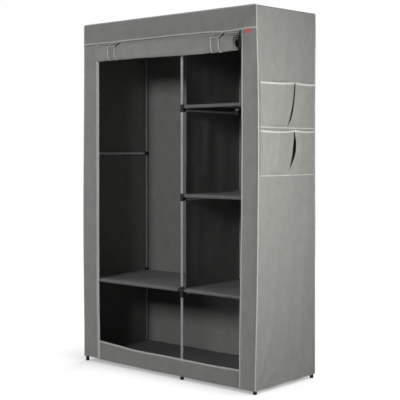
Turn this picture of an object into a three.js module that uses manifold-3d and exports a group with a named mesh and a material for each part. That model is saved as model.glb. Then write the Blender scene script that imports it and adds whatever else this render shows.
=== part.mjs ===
// Portable fabric wardrobe: a steel tube frame in black plastic connectors, a sewn fabric
// cover with a roll-up door, fabric shelves, a hanging rail and two rows of side pockets.
// Millimetres. +X to the right, +Y from the front to the back, +Z up, standing on its feet.
// The origin lies on the floor, under the centre of the whole outline.
import * as THREE from 'three';
import { mergeVertices } from 'three/addons/utils/BufferGeometryUtils.js';
import Module from 'manifold-3d';

const wasm = await Module();
wasm.setup();

// Outside of the cover
const bodyWidth = 1100;
const bodyDepth = 450;
const bodyHeight = 1700;
const hemLevel = 18;            // the cover ends this far above the floor
const sideBow = 10;             // swell of the side panels at mid height
const backBow = 6;              // swell of the back panel at mid height
const coverCornerRadius = 9;    // rounding along the top edges of the sides

// Cloth and clearances
const fabricWall = 1.2;
const fitGap = 0.3;             // clearance between pieces that touch
const cutOverrun = 5;           // how far a cut runs past the solid that it opens

// Tubes
const tubeRadius = 6;
const tubeWall = 0.8;
const railRadius = 7;

// Plastic connectors
const sleeveRadius = 9;
const armRadius = 8;
const armLength = 21;           // from the upright's axis to the mouth of a socket
const sleeveReach = 10;         // sleeve beyond the outermost arm axis
const longSleeveReach = 18;     // the same at the lower level, where the uprights are joined
const depthDrop = 15;           // the depth tubes lie this far under the cross tubes
const socketWeb = 2;            // plastic between the upright and the end of a socket
const footFloor = 8;            // solid foot under an upright

// Levels of the cross tubes above the floor
const baseLevel = 34;
const lowerLevel = 416;
const middleLevel = 855;
const upperLevel = 1267;
const sideRailLevel = 1051;     // depth rail of the left side only
const rightColumnWidth = 430;   // between the axes of the centre and the right uprights

// Hanging rail under the top frame
const railDrop = 46;
const bracketWidth = 16;
const bracketGrip = 8;          // how far a bracket's socket holds the rail
const bracketWall = 2.5;

// Front of the cover
const headerHeight = 102;
const leftBandWidth = 108;
const rightBandWidth = 90;
const zipTapeWidth = 18;
const bottomBandLeft = 111;     // height of the bottom band's upper edge above the floor
const bottomBandRight = 92;
const bottomBandSag = 5;

// Rolled door
const rollInset = 7;            // from the opening's edge to the end of the roll
const rollHeight = 73;
const rollDepth = 35;
const rollDrop = 26;            // from the header's seam to the top of the roll
const rollPitch = 3.2;
const rollSheetWall = 1.9;
const rollTurns = 4;
const doorSeamOverlap = 6;

// Straps that hold the roll
const strapWidth = 50;
const strapLeftInset = 119;     // from the opening's left edge to the middle of the left strap
const strapRightInset = 115;    // from the opening's right edge to the middle of the right strap
const strapWrapEnd = THREE.MathUtils.degToRad(205);

// Zip sliders
const sliderWidth = 9;
const sliderLength = 13;
const sliderDepth = 5;
const pullWidth = 6;
const pullLength = 26;
const pullThickness = 1.4;
const sliderDrop = 10;          // from the header's seam to the top of a slider

// Side pockets
const pocketMargin = 12;        // from the side's front and back edges
const pocketUpperRimLevel = 1360;
const pocketLowerRimLevel = 1148;
const pocketHeight = 196;
const pocketPuff = 14;
const pocketSplitRimShare = 0.64;
const pocketSplitFootShare = 0.52;
const pocketMinimumPuffShare = 0.02;

// Divider between the columns
const dividerSetback = 35;      // from the uprights' axes to the divider's edges

// Facets
const tubeSides = 12;
const bowSteps = 10;
const cornerSteps = 3;
const sagSteps = 8;
const rollStepsPerTurn = 20;
const strapSteps = 14;
const pocketColumns = 8;
const pocketRows = 6;

// Worked out from the sizes above
const halfWidth = bodyWidth / 2;
const tubeBore = tubeRadius - tubeWall;
const holeRadius = tubeRadius + fitGap;
const socketStart = holeRadius + socketWeb;
const postInset = fabricWall + fitGap + sleeveRadius;
const postX = {
  left: postInset - halfWidth,
  center: halfWidth - postInset - rightColumnWidth,
  right: halfWidth - postInset,
};
const postY = { front: postInset, rear: bodyDepth - postInset };
const topLevel = bodyHeight - fabricWall - fitGap - sleeveRadius;
const headerLevel = bodyHeight - headerHeight;
const openingLeft = leftBandWidth - halfWidth;
const openingRight = halfWidth - rightBandWidth;
const rollLeft = openingLeft + rollInset;
const rollRight = openingRight - rollInset;
const doorFace = -fitGap;
const rollBack = doorFace - fabricWall - fitGap;
const rollAxisY = rollBack - rollDepth / 2;
const rollAxisZ = headerLevel - rollDrop - rollHeight / 2;

// Finishes
const frameGrey = new THREE.MeshStandardMaterial({ color: 0x85868a, roughness: 0.4, metalness: 0.6 });
const connectorBlack = new THREE.MeshStandardMaterial({ color: 0x1b1b1c, roughness: 0.55, metalness: 0 });
const coverGrey = new THREE.MeshStandardMaterial({ color: 0x7d7d7b, roughness: 0.95, metalness: 0 });
const pocketGrey = new THREE.MeshStandardMaterial({ color: 0x8f908c, roughness: 0.95, metalness: 0 });
const shelfGrey = new THREE.MeshStandardMaterial({ color: 0x6a6a6a, roughness: 0.95, metalness: 0 });
const zipMetal = new THREE.MeshStandardMaterial({ color: 0x5c5d60, roughness: 0.35, metalness: 0.9 });

// Solids and meshes

/** A closed geometry as a solid that can be joined and cut. */
function solidOf(geometry) {
  geometry.deleteAttribute('normal');
  geometry.deleteAttribute('uv');
  const merged = mergeVertices(geometry);
  return new wasm.Manifold(new wasm.Mesh({
    numProp: 3,
    vertProperties: new Float32Array(merged.attributes.position.array),
    triVerts: new Uint32Array(merged.index.array),
  }));
}

/** A solid as the geometry of a mesh. */
function geometryOf(solid) {
  const mesh = solid.getMesh();
  const geometry = new THREE.BufferGeometry();
  geometry.setAttribute('position', new THREE.BufferAttribute(mesh.vertProperties, 3));
  geometry.setIndex(new THREE.BufferAttribute(mesh.triVerts, 1));
  return geometry;
}

function joined(solids) {
  return solids.reduce((whole, solid) => whole.add(solid));
}

/** Turns a geometry made along +Y so that it runs along the named axis. */
function alongAxis(geometry, axis) {
  if (axis === 'x') geometry.rotateZ(-Math.PI / 2);
  if (axis === 'z') geometry.rotateX(Math.PI / 2);
  return geometry;
}

/** A round rod along an axis, from start to end, through the point at. */
function rod(axis, radius, start, end, at = { x: 0, y: 0, z: 0 }) {
  const geometry = alongAxis(new THREE.CylinderGeometry(radius, radius, end - start, tubeSides), axis);
  const middle = new THREE.Vector3(at.x, at.y, at.z);
  middle[axis] += (start + end) / 2;
  return solidOf(geometry.translate(middle.x, middle.y, middle.z));
}

function ball(radius, at) {
  return solidOf(new THREE.SphereGeometry(radius, tubeSides, tubeSides / 2).translate(at.x, at.y, at.z));
}

/** A box between two corners. */
function block(low, high) {
  const size = high.clone().sub(low);
  const middle = low.clone().add(high).multiplyScalar(1 / 2);
  return solidOf(new THREE.BoxGeometry(size.x, size.y, size.z).translate(middle.x, middle.y, middle.z));
}

/** Extrudes an outline of (y, z) points along X. */
function extrudedAlongX(outline, x0, x1) {
  const geometry = new THREE.ExtrudeGeometry(new THREE.Shape(outline), {
    depth: x1 - x0,
    bevelEnabled: false,
  });
  const turn = new THREE.Matrix4().makeBasis(
    new THREE.Vector3(0, 1, 0), new THREE.Vector3(0, 0, 1), new THREE.Vector3(1, 0, 0));
  return geometry.applyMatrix4(turn).translate(x0, 0, 0);
}

/** Extrudes a shape of (x, z) points back from y0 to y1. */
function extrudedAlongY(shape, y0, y1) {
  const geometry = new THREE.ExtrudeGeometry(shape, { depth: y1 - y0, bevelEnabled: false });
  return geometry.rotateX(Math.PI / 2).translate(0, y1, 0);
}

/** A sheet with thickness: two grids of points, face and back, closed along their edges. */
function sheet(columns, rows, face, back) {
  const points = [];
  for (const side of [face, back]) {
    for (let row = 0; row <= rows; row += 1) {
      for (let column = 0; column <= columns; column += 1) {
        points.push(...side(column / columns, row / rows).toArray());
      }
    }
  }
  const layer = (columns + 1) * (rows + 1);
  const at = (column, row, side = 0) => side * layer + row * (columns + 1) + column;
  const index = [];
  const quad = (a, b, c, d) => index.push(a, b, c, a, c, d);
  for (let row = 0; row < rows; row += 1) {
    for (let column = 0; column < columns; column += 1) {
      const next = column + 1;
      const above = row + 1;
      quad(at(column, row), at(next, row), at(next, above), at(column, above));
      quad(at(column, row, 1), at(column, above, 1), at(next, above, 1), at(next, row, 1));
    }
  }
  for (let column = 0; column < columns; column += 1) {
    const next = column + 1;
    quad(at(column, 0), at(column, 0, 1), at(next, 0, 1), at(next, 0));
    quad(at(next, rows), at(next, rows, 1), at(column, rows, 1), at(column, rows));
  }
  for (let row = 0; row < rows; row += 1) {
    const above = row + 1;
    quad(at(0, above), at(0, above, 1), at(0, row, 1), at(0, row));
    quad(at(columns, row), at(columns, row, 1), at(columns, above, 1), at(columns, above));
  }
  const geometry = new THREE.BufferGeometry();
  geometry.setAttribute('position', new THREE.Float32BufferAttribute(points, 3));
  geometry.setIndex(index);
  return geometry;
}

/** A named mesh in a group, at a place. */
function addPiece(group, name, shape, material, place = {}) {
  const geometry = shape.isBufferGeometry ? shape : geometryOf(shape);
  const mesh = new THREE.Mesh(geometry, material);
  mesh.name = name;
  mesh.position.set(place.x ?? 0, place.y ?? 0, place.z ?? 0);
  group.add(mesh);
  return mesh;
}

/** A hollow tube along an axis, from 0 to its length. */
function tube(axis, length, radius = tubeRadius) {
  return rod(axis, radius, 0, length)
    .subtract(rod(axis, radius - tubeWall, -cutOverrun, length + cutOverrun));
}

// Frame

/** A connector round an upright, with sockets for cross tubes (arms: -1, 1) and a depth tube. */
function connector(crossArms, depthArm, reach) {
  const dropped = { x: 0, y: 0, z: -depthDrop };
  const straight = crossArms.length === 0;
  const armHeight = straight ? 0 : -depthDrop;
  const depthPlace = straight ? { x: 0, y: 0, z: 0 } : dropped;
  const low = armHeight - reach;
  let body = rod('z', sleeveRadius, low, reach);
  let holes = rod('z', holeRadius, low - cutOverrun, reach + cutOverrun);
  const reachOf = (side) => (side > 0 ? [0, armLength] : [-armLength, 0]);
  const socketOf = (side) => (side > 0
    ? [socketStart, armLength + cutOverrun]
    : [-armLength - cutOverrun, -socketStart]);
  for (const side of crossArms) {
    body = body.add(rod('x', armRadius, ...reachOf(side)));
    holes = holes.add(rod('x', holeRadius, ...socketOf(side)));
  }
  body = body.add(rod('y', armRadius, ...reachOf(depthArm), depthPlace));
  holes = holes.add(rod('y', holeRadius, ...socketOf(depthArm), depthPlace));
  return body.subtract(holes);
}

/** The six places of the uprights, with the sockets that a full level needs there. */
const postPlaces = [];
for (const [row, y] of Object.entries(postY)) {
  for (const [column, x] of Object.entries(postX)) {
    const crossArms = { left: [1], center: [-1, 1], right: [-1] }[column];
    postPlaces.push({ row, column, x, y, crossArms, depthArm: row === 'front' ? 1 : -1 });
  }
}

/** A welded-looking ring of cross and depth tubes at a level, solid, with its six sleeves. */
function ringSolids(level, sleeveLow, sleeveHigh) {
  const solids = [];
  const bores = [];
  for (const y of Object.values(postY)) {
    solids.push(rod('x', tubeRadius, postX.left, postX.right, { x: 0, y, z: level }));
    bores.push(rod('x', tubeBore, postX.left, postX.right, { x: 0, y, z: level }));
  }
  for (const x of Object.values(postX)) {
    solids.push(rod('y', tubeRadius, postY.front, postY.rear, { x, y: 0, z: level }));
    bores.push(rod('y', tubeBore, postY.front, postY.rear, { x, y: 0, z: level }));
  }
  for (const { x, y, crossArms, depthArm } of postPlaces) {
    solids.push(rod('z', sleeveRadius, sleeveLow, sleeveHigh, { x, y, z: 0 }));
    for (const side of crossArms) {
      const ends = side > 0 ? [0, armLength] : [-armLength, 0];
      solids.push(rod('x', armRadius, ...ends, { x, y, z: level }));
    }
    const ends = depthArm > 0 ? [0, armLength] : [-armLength, 0];
    solids.push(rod('y', armRadius, ...ends, { x, y, z: level }));
  }
  return { solids, bores };
}

/** Base frame: ring of tubes in six feet. The feet are closed below and open above. */
function baseFrame() {
  const { solids, bores } = ringSolids(baseLevel, 0, baseLevel + sleeveReach);
  const holes = postPlaces.map(({ x, y }) => rod(
    'z', holeRadius, footFloor, baseLevel + sleeveReach + cutOverrun, { x, y, z: 0 }));
  return joined(solids).subtract(joined([...bores, ...holes]));
}

/** Top frame: ring of tubes in six elbows, with two brackets that carry the hanging rail. */
function topFrame() {
  const sleeveLow = topLevel - sleeveReach - depthDrop;
  const { solids, bores } = ringSolids(topLevel, sleeveLow, topLevel);
  const holes = [];
  for (const { x, y } of postPlaces) {
    solids.push(ball(sleeveRadius, { x, y, z: topLevel }));
    holes.push(rod('z', holeRadius, sleeveLow - cutOverrun, topLevel, { x, y, z: 0 }));
  }
  const railHole = railRadius + fitGap;
  const socketRadius = railHole + bracketWall;
  for (const [x, side] of [[postX.left, 1], [postX.center, -1]]) {
    const railPlace = { x, y: bodyDepth / 2, z: topLevel - railDrop };
    const half = new THREE.Vector3(bracketWidth, bracketWidth, 0).multiplyScalar(1 / 2);
    const foot = new THREE.Vector3(x, bodyDepth / 2, topLevel - railDrop);
    const head = foot.clone().setZ(topLevel);
    const web = block(foot.clone().sub(half), head.clone().add(half));
    const back = -side * bracketWidth / 2;
    const mouth = side * (bracketWidth / 2 + bracketGrip);
    solids.push(web, rod('x', socketRadius, Math.min(back, mouth), Math.max(back, mouth), railPlace));
    solids.push(rod('y', armRadius, -bracketWidth / 2, bracketWidth / 2,
      { x, y: bodyDepth / 2, z: topLevel }));
    const end = back + side * bracketWall;
    const past = mouth + side * cutOverrun;
    holes.push(rod('x', railHole, Math.min(end, past), Math.max(end, past), railPlace));
  }
  return joined(solids).subtract(joined([...bores, ...holes]));
}

function buildFrame() {
  const frame = new THREE.Group();
  addPiece(frame, 'base_frame', baseFrame(), frameGrey);
  addPiece(frame, 'top_frame', topFrame(), frameGrey);

  const uprightLow = footFloor + fitGap;
  const uprightHigh = topLevel - tubeRadius;
  for (const { row, column, x, y } of postPlaces) {
    addPiece(frame, `upright_${row}_${column}`, tube('z', uprightHigh - uprightLow), frameGrey,
      { x, y, z: uprightLow });
  }

  const railStart = postX.left - bracketWidth / 2 + bracketWall + fitGap;
  const railEnd = postX.center + bracketWidth / 2 - bracketWall - fitGap;
  addPiece(frame, 'hanging_rail', tube('x', railEnd - railStart, railRadius), frameGrey,
    { x: railStart, y: bodyDepth / 2, z: topLevel - railDrop });

  const socketEnd = socketStart + fitGap;
  const depthLength = postY.rear - postY.front - socketEnd * 2;
  const addLevel = (name, level, columns, reach) => {
    const group = new THREE.Group();
    group.position.z = level;
    frame.add(group);
    const places = postPlaces.filter(({ column }) => columns.includes(column));
    for (const { row, column, x, y, crossArms, depthArm } of places) {
      const arms = crossArms.filter((side) => columns.length > 1
        && !(side < 0 && column === 'center' && !columns.includes('left')));
      addPiece(group, `${name}_connector_${row}_${column}`, connector(arms, depthArm, reach),
        connectorBlack, { x, y });
    }
    const drop = columns.length > 1 ? -depthDrop : 0;
    for (const column of columns) {
      addPiece(group, `${name}_depth_tube_${column}`, tube('y', depthLength), frameGrey,
        { x: postX[column], y: postY.front + socketEnd, z: drop });
    }
    for (const [row, y] of Object.entries(postY)) {
      for (let bay = 1; bay < columns.length; bay += 1) {
        const start = postX[columns[bay - 1]] + socketEnd;
        const end = postX[columns[bay]] - socketEnd;
        const side = columns[bay] === 'center' ? 'left' : 'right';
        addPiece(group, `${name}_tube_${row}_${side}`, tube('x', end - start), frameGrey,
          { x: start, y });
      }
    }
  };
  addLevel('lower', lowerLevel, ['left', 'center', 'right'], longSleeveReach);
  addLevel('side', sideRailLevel, ['left'], sleeveReach);
  addLevel('middle', middleLevel, ['center', 'right'], sleeveReach);
  addLevel('upper', upperLevel, ['center', 'right'], sleeveReach);
  return frame;
}

// Shelves, floor and divider

const clothOuter = holeRadius + fabricWall;
const dividerX = { low: postX.center - clothOuter, high: postX.center - holeRadius };

/** A cloth shelf slung between its front and rear tubes, which run through its hems. */
function shelf(columnLeft, columnRight, clothLeft, clothRight) {
  const hemLeft = columnLeft + armLength + fitGap;
  const hemRight = columnRight - armLength - fitGap;
  const clothLow = holeRadius;
  const clothHigh = clothOuter;
  const sides = Object.values(postY);
  const hems = sides.map((y) => rod('x', clothOuter, hemLeft, hemRight, { x: 0, y, z: 0 }));
  const bores = sides.map((y) => rod(
    'x', holeRadius, hemLeft - cutOverrun, hemRight + cutOverrun, { x: 0, y, z: 0 }));
  const notch = sleeveRadius + fitGap;
  const narrow = block(new THREE.Vector3(hemLeft, postY.front, clothLow),
    new THREE.Vector3(hemRight, postY.rear, clothHigh));
  const wide = block(new THREE.Vector3(clothLeft, postY.front + notch, clothLow),
    new THREE.Vector3(clothRight, postY.rear - notch, clothHigh));
  return joined([...hems, narrow, wide]).subtract(joined(bores));
}

/** The floor sheet, laid on the arms of the base frame, with holes for the uprights' sleeves. */
function floorSheet() {
  const low = baseLevel + armRadius + fitGap;
  const sheetSolid = block(
    new THREE.Vector3(postX.left - tubeRadius, postY.front - tubeRadius, low),
    new THREE.Vector3(postX.right + tubeRadius, postY.rear + tubeRadius, low + fabricWall));
  const holes = postPlaces.map(({ x, y }) => rod(
    'z', sleeveRadius + fitGap, low - cutOverrun, low + fabricWall + cutOverrun, { x, y, z: 0 }));
  return sheetSolid.subtract(joined(holes));
}

/** The cloth wall between the columns, slung on the centre depth tubes, cut out for the rail. */
function divider() {
  const front = postY.front + dividerSetback;
  const rear = postY.rear - dividerSetback;
  const low = lowerLevel - depthDrop;
  const centreX = postX.center;
  const hems = [low, topLevel].map((z) => rod('y', clothOuter, front, rear, { x: centreX, y: 0, z }));
  const bores = [low, topLevel].map((z) => rod(
    'y', holeRadius, front - cutOverrun, rear + cutOverrun, { x: centreX, y: 0, z }));
  const wall = block(new THREE.Vector3(dividerX.low, front, low),
    new THREE.Vector3(dividerX.high, rear, topLevel));
  const notchHalf = bracketWidth / 2 + railRadius + fitGap;
  const notch = block(
    new THREE.Vector3(centreX - armLength, bodyDepth / 2 - notchHalf,
      topLevel - railDrop - railRadius - bracketWall - cutOverrun),
    new THREE.Vector3(centreX + armLength, bodyDepth / 2 + notchHalf, topLevel + armLength));
  return joined([...hems, wall]).subtract(joined([...bores, notch]));
}

function buildInterior() {
  const interior = new THREE.Group();
  const sideEdge = tubeRadius;
  addPiece(interior, 'shelf_lower_left',
    shelf(postX.left, postX.center, postX.left - sideEdge, dividerX.low - fitGap), shelfGrey,
    { z: lowerLevel });
  for (const [name, level] of [['shelf_lower_right', lowerLevel], ['shelf_middle', middleLevel],
    ['shelf_upper', upperLevel]]) {
    addPiece(interior, name,
      shelf(postX.center, postX.right, dividerX.high + fitGap, postX.right + sideEdge), shelfGrey,
      { z: level });
  }
  addPiece(interior, 'floor_panel', floorSheet(), shelfGrey);
  addPiece(interior, 'column_divider', divider(), shelfGrey);
  return interior;
}

// Cover

const bow = (z, amount) => amount * Math.sin(Math.PI * z / bodyHeight);

/** Half of the cover's outline in the X-Z plane, from the hem to the top: swell and rounding. */
function sideOutline() {
  const points = [];
  const shoulder = bodyHeight - coverCornerRadius;
  for (let step = 0; step <= bowSteps; step += 1) {
    const z = hemLevel + (shoulder - hemLevel) * step / bowSteps;
    points.push(new THREE.Vector2(halfWidth + bow(z, sideBow), z));
  }
  for (let step = 1; step <= cornerSteps; step += 1) {
    const angle = Math.PI / 2 * step / cornerSteps;
    const z = shoulder + coverCornerRadius * Math.sin(angle);
    const inward = coverCornerRadius * (1 - Math.cos(angle));
    points.push(new THREE.Vector2(halfWidth + bow(shoulder, sideBow) - inward, z));
  }
  return points;
}

/** The front of the cover: header, side bands and bottom band round the door opening. */
function frontPanel() {
  const right = sideOutline();
  const left = right.map(({ x, y }) => new THREE.Vector2(-x, y)).reverse();
  const shape = new THREE.Shape([...right, ...left]);
  const opening = [new THREE.Vector2(openingLeft, headerLevel)];
  for (let step = 0; step <= sagSteps; step += 1) {
    const share = step / sagSteps;
    const sag = bottomBandSag * Math.sin(Math.PI * share);
    opening.push(new THREE.Vector2(
      openingLeft + (openingRight - openingLeft) * share,
      bottomBandLeft + (bottomBandRight - bottomBandLeft) * share - sag));
  }
  opening.push(new THREE.Vector2(openingRight, headerLevel));
  shape.holes.push(new THREE.Path(opening));
  return extrudedAlongY(shape, 0, fabricWall);
}

/** A side panel; side is 1 on the right and -1 on the left. */
function sidePanel(side) {
  const high = bodyHeight - coverCornerRadius - fitGap;
  const front = fabricWall + fitGap;
  const point = (inset) => (u, v) => {
    const z = hemLevel + (high - hemLevel) * v;
    const rear = bodyDepth - fabricWall - fitGap + bow(z, backBow);
    const along = side > 0 ? u : 1 - u;
    return new THREE.Vector3(side * (halfWidth + bow(z, sideBow) - inset), front + (rear - front) * along, z);
  };
  return sheet(1, bowSteps, point(0), point(fabricWall));
}

function backPanel() {
  const rows = sideOutline();
  const point = (inset) => (u, v) => {
    const { x, y: z } = rows[Math.round(v * (rows.length - 1))];
    return new THREE.Vector3(x - 2 * x * u, bodyDepth - inset + bow(z, backBow), z);
  };
  return sheet(1, rows.length - 1, point(0), point(fabricWall));
}

/** The roof, with its rounded edges along the sides. */
function roof() {
  const shoulder = bodyHeight - coverCornerRadius;
  const edge = halfWidth + bow(shoulder, sideBow);
  const arc = (radius) => {
    const points = [];
    for (let step = 0; step <= cornerSteps; step += 1) {
      const angle = Math.PI / 2 * step / cornerSteps;
      points.push(new THREE.Vector2(edge - coverCornerRadius + radius * Math.cos(angle),
        shoulder + radius * Math.sin(angle)));
    }
    return points;
  };
  const mirrored = (points) => points.map(({ x, y }) => new THREE.Vector2(-x, y)).reverse();
  const outer = arc(coverCornerRadius);
  const inner = arc(coverCornerRadius - fabricWall);
  const outline = [...outer, ...mirrored(outer), ...[...inner, ...mirrored(inner)].reverse()];
  return extrudedAlongY(new THREE.Shape(outline), fabricWall + fitGap, bodyDepth - fabricWall - fitGap);
}

/** A row of two pockets on the right side, open at the rim, drawn in at the seam between them. */
function pocketRow(rimLevel) {
  const front = pocketMargin;
  const rear = bodyDepth - pocketMargin;
  const point = (inset) => (u, v) => {
    const z = rimLevel - pocketHeight * (1 - v);
    const split = pocketSplitFootShare + (pocketSplitRimShare - pocketSplitFootShare) * v;
    const along = u < 1 / 2 ? split * 2 * u : split + (1 - split) * (2 * u - 1);
    const lobe = Math.abs(Math.sin(2 * Math.PI * u));
    const puffShare = pocketMinimumPuffShare + (1 - pocketMinimumPuffShare) * lobe * Math.sqrt(v);
    const x = halfWidth + bow(z, sideBow) + fitGap + fabricWall + pocketPuff * puffShare;
    return new THREE.Vector3(x - inset, front + (rear - front) * along, z);
  };
  return sheet(pocketColumns * 2, pocketRows, point(0), point(fabricWall));
}

function buildCover() {
  const cover = new THREE.Group();
  addPiece(cover, 'front_panel', frontPanel(), coverGrey);
  addPiece(cover, 'cover_side_left', sidePanel(-1), coverGrey);
  addPiece(cover, 'cover_side_right', sidePanel(1), coverGrey);
  addPiece(cover, 'cover_back', backPanel(), coverGrey);
  addPiece(cover, 'cover_top', roof(), coverGrey);
  addPiece(cover, 'pocket_row_upper', pocketRow(pocketUpperRimLevel), pocketGrey);
  addPiece(cover, 'pocket_row_lower', pocketRow(pocketLowerRimLevel), pocketGrey);
  return cover;
}

// Roll-up door

/** The rolled door: its cloth wound in an oval, drawn as one continuous layer. */
function doorRoll() {
  const steps = rollTurns * rollStepsPerTurn;
  const outer = [];
  const inner = [];
  for (let step = 0; step <= steps; step += 1) {
    const turn = step / rollStepsPerTurn;
    const angle = 2 * Math.PI * turn;
    const across = rollDepth / 2 - rollPitch * turn;
    const up = rollHeight / 2 - rollPitch * turn;
    outer.push(new THREE.Vector2(across * Math.cos(angle), -up * Math.sin(angle)));
    inner.push(new THREE.Vector2(
      (across - rollSheetWall) * Math.cos(angle), -(up - rollSheetWall) * Math.sin(angle)));
  }
  return extrudedAlongX([...outer, ...inner.reverse()], rollLeft, rollRight);
}

/** The free part of the door between the header's seam and the back of the roll. */
function doorSheet() {
  return block(new THREE.Vector3(rollLeft, doorFace - fabricWall, rollAxisZ),
    new THREE.Vector3(rollRight, doorFace, headerLevel + doorSeamOverlap));
}

/** A strap: from the header's seam over the roll, down its front and under it. */
function strap() {
  const across = rollDepth / 2 + fitGap + fabricWall / 2;
  const up = rollHeight / 2 + fitGap + fabricWall / 2;
  const start = new THREE.Vector2(rollBack - fabricWall / 2 - rollAxisY, headerLevel - rollAxisZ);
  const scaled = new THREE.Vector2(start.x / across, start.y / up);
  const touch = scaled.angle() + Math.acos(1 / scaled.length());
  const path = [start];
  const last = strapWrapEnd + Math.PI / 2;
  for (let step = 0; step <= strapSteps; step += 1) {
    const angle = touch + (last - touch) * step / strapSteps;
    path.push(new THREE.Vector2(across * Math.cos(angle), up * Math.sin(angle)));
  }
  const sides = [1, -1].map((sign) => path.map((point, place) => {
    const before = path[Math.max(place - 1, 0)];
    const after = path[Math.min(place + 1, path.length - 1)];
    const along = after.clone().sub(before).normalize();
    const normal = new THREE.Vector2(along.y, -along.x);
    return point.clone().addScaledVector(normal, sign * fabricWall / 2);
  }));
  return extrudedAlongX([...sides[0], ...sides[1].reverse()], -strapWidth / 2, strapWidth / 2);
}

/** A zip slider with its pull hanging from it. Its back lies in the plane y = 0. */
function zipSlider() {
  const body = block(new THREE.Vector3(-sliderWidth / 2, -sliderDepth, -sliderLength),
    new THREE.Vector3(sliderWidth / 2, 0, 0));
  const pullTop = -sliderLength / 2;
  const pull = block(new THREE.Vector3(-pullWidth / 2, -sliderDepth - pullThickness, pullTop - pullLength),
    new THREE.Vector3(pullWidth / 2, -sliderDepth, pullTop));
  return body.add(pull);
}

function buildDoor() {
  const door = new THREE.Group();
  const roll = new THREE.Group();
  roll.position.set(0, rollAxisY, rollAxisZ);
  door.add(roll);
  addPiece(roll, 'door_roll', doorRoll(), coverGrey);
  addPiece(door, 'door_sheet', doorSheet(), coverGrey);
  for (const [side, x] of [['left', openingLeft + strapLeftInset], ['right', openingRight - strapRightInset]]) {
    addPiece(roll, `door_strap_${side}`, strap(), pocketGrey, { x });
  }
  const sliderTop = headerLevel - sliderDrop;
  for (const [side, x] of [['left', openingLeft - zipTapeWidth / 2], ['right', openingRight + zipTapeWidth / 2]]) {
    addPiece(door, `zip_slider_${side}`, zipSlider(), zipMetal, { x, y: -fitGap, z: sliderTop });
  }
  return door;
}

const wardrobe = new THREE.Group();
wardrobe.add(buildFrame(), buildInterior(), buildCover(), buildDoor());
wardrobe.updateMatrixWorld(true);
const outlineCentre = new THREE.Box3().setFromObject(wardrobe).getCenter(new THREE.Vector3());
wardrobe.position.set(-outlineCentre.x, -outlineCentre.y, 0);

export default wardrobe;
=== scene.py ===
"""Looks of a portable fabric wardrobe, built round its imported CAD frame. Lengths are in metres."""

from __future__ import annotations

import logging
import math
from dataclasses import dataclass
from enum import Enum
from typing import Any, Mapping, Sequence

import bpy
import numpy as np
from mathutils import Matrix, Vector

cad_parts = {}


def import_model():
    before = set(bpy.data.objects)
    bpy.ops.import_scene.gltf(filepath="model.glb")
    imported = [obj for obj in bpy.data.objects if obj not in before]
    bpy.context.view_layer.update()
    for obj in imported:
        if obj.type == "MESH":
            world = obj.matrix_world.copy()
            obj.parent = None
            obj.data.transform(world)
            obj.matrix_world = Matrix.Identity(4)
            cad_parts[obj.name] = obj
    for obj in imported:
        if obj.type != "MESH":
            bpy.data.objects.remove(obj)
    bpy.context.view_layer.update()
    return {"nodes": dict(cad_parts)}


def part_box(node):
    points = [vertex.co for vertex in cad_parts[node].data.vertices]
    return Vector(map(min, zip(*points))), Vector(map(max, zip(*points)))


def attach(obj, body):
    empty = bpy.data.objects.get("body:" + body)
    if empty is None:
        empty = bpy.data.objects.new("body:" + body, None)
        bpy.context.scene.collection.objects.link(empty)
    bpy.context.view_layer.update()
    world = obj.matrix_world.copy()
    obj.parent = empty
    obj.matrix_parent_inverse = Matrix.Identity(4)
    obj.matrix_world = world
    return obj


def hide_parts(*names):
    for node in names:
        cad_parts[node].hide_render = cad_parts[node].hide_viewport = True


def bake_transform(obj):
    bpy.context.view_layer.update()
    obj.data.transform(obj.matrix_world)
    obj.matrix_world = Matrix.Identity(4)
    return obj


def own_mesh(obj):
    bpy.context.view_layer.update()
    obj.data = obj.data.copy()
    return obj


LOG = logging.getLogger("wardrobe")
CLOTH_UV = "cloth"
TURN = 2 * math.pi
# The radius that closes a turned outline at its axis, and the number of facets round what is turned
POLE = 0.00001
FACETS = 24
# Past this angle an edge stays sharp
CREASE = math.radians(42)
Array = np.ndarray
Pair = tuple[float, float]
Piece, Tree, Socket = bpy.types.Object, bpy.types.NodeTree, bpy.types.NodeSocket
Outline = Sequence[Pair]
# What is turned about an axis: a point of the axis, its direction, and an outline as (place along, radius)
Ring = tuple[Sequence[float], Sequence[float], Outline]
RIGHT, UP, FORWARD = np.array([1.0, 0, 0]), np.array([0, 0, 1.0]), np.array([0, -1.0, 0])


# Nodes, meshes and cloth grids


def linear(colour: str) -> tuple[float, float, float, float]:
    """Turns an sRGB hex colour into linear red, green, blue and alpha.

    Args:
        colour: The colour as #rrggbb.

    Returns:
        The colour as a material's socket takes it.
    """
    parts = [int(colour[i:i + 2], 16) / 255 for i in (1, 3, 5)]
    red, green, blue = (c / 12.92 if c <= 0.04045 else ((c + 0.055) / 1.055) ** 2.4 for c in parts)
    return red, green, blue, 1.0


def add_node(tree: Tree, kind: str, settings: Mapping[str, Any] | None = None,
             inputs: Mapping[str | int, Any] | None = None) -> bpy.types.Node:
    """Adds one node to a tree.

    Args:
        tree: The tree of a material, a world or a modifier.
        kind: The node's type.
        settings: Properties of the node.
        inputs: What each input gets, by its name or number: a value, or a socket to link from.

    Returns:
        The new node.
    """
    node = tree.nodes.new(kind)
    for key, value in (settings or {}).items():
        setattr(node, key, value)
    for key, value in (inputs or {}).items():
        socket = node.inputs[key]
        if isinstance(value, Socket):
            tree.links.new(value, socket)
        else:
            socket.default_value = value
    return node


def new_material(name: str) -> tuple[bpy.types.Material, Tree]:
    """Makes a material with an empty tree.

    Args:
        name: The material's name.

    Returns:
        The material and its tree.
    """
    material = bpy.data.materials.new(name)
    material.use_nodes = True
    material.node_tree.nodes.clear()
    return material, material.node_tree


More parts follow.
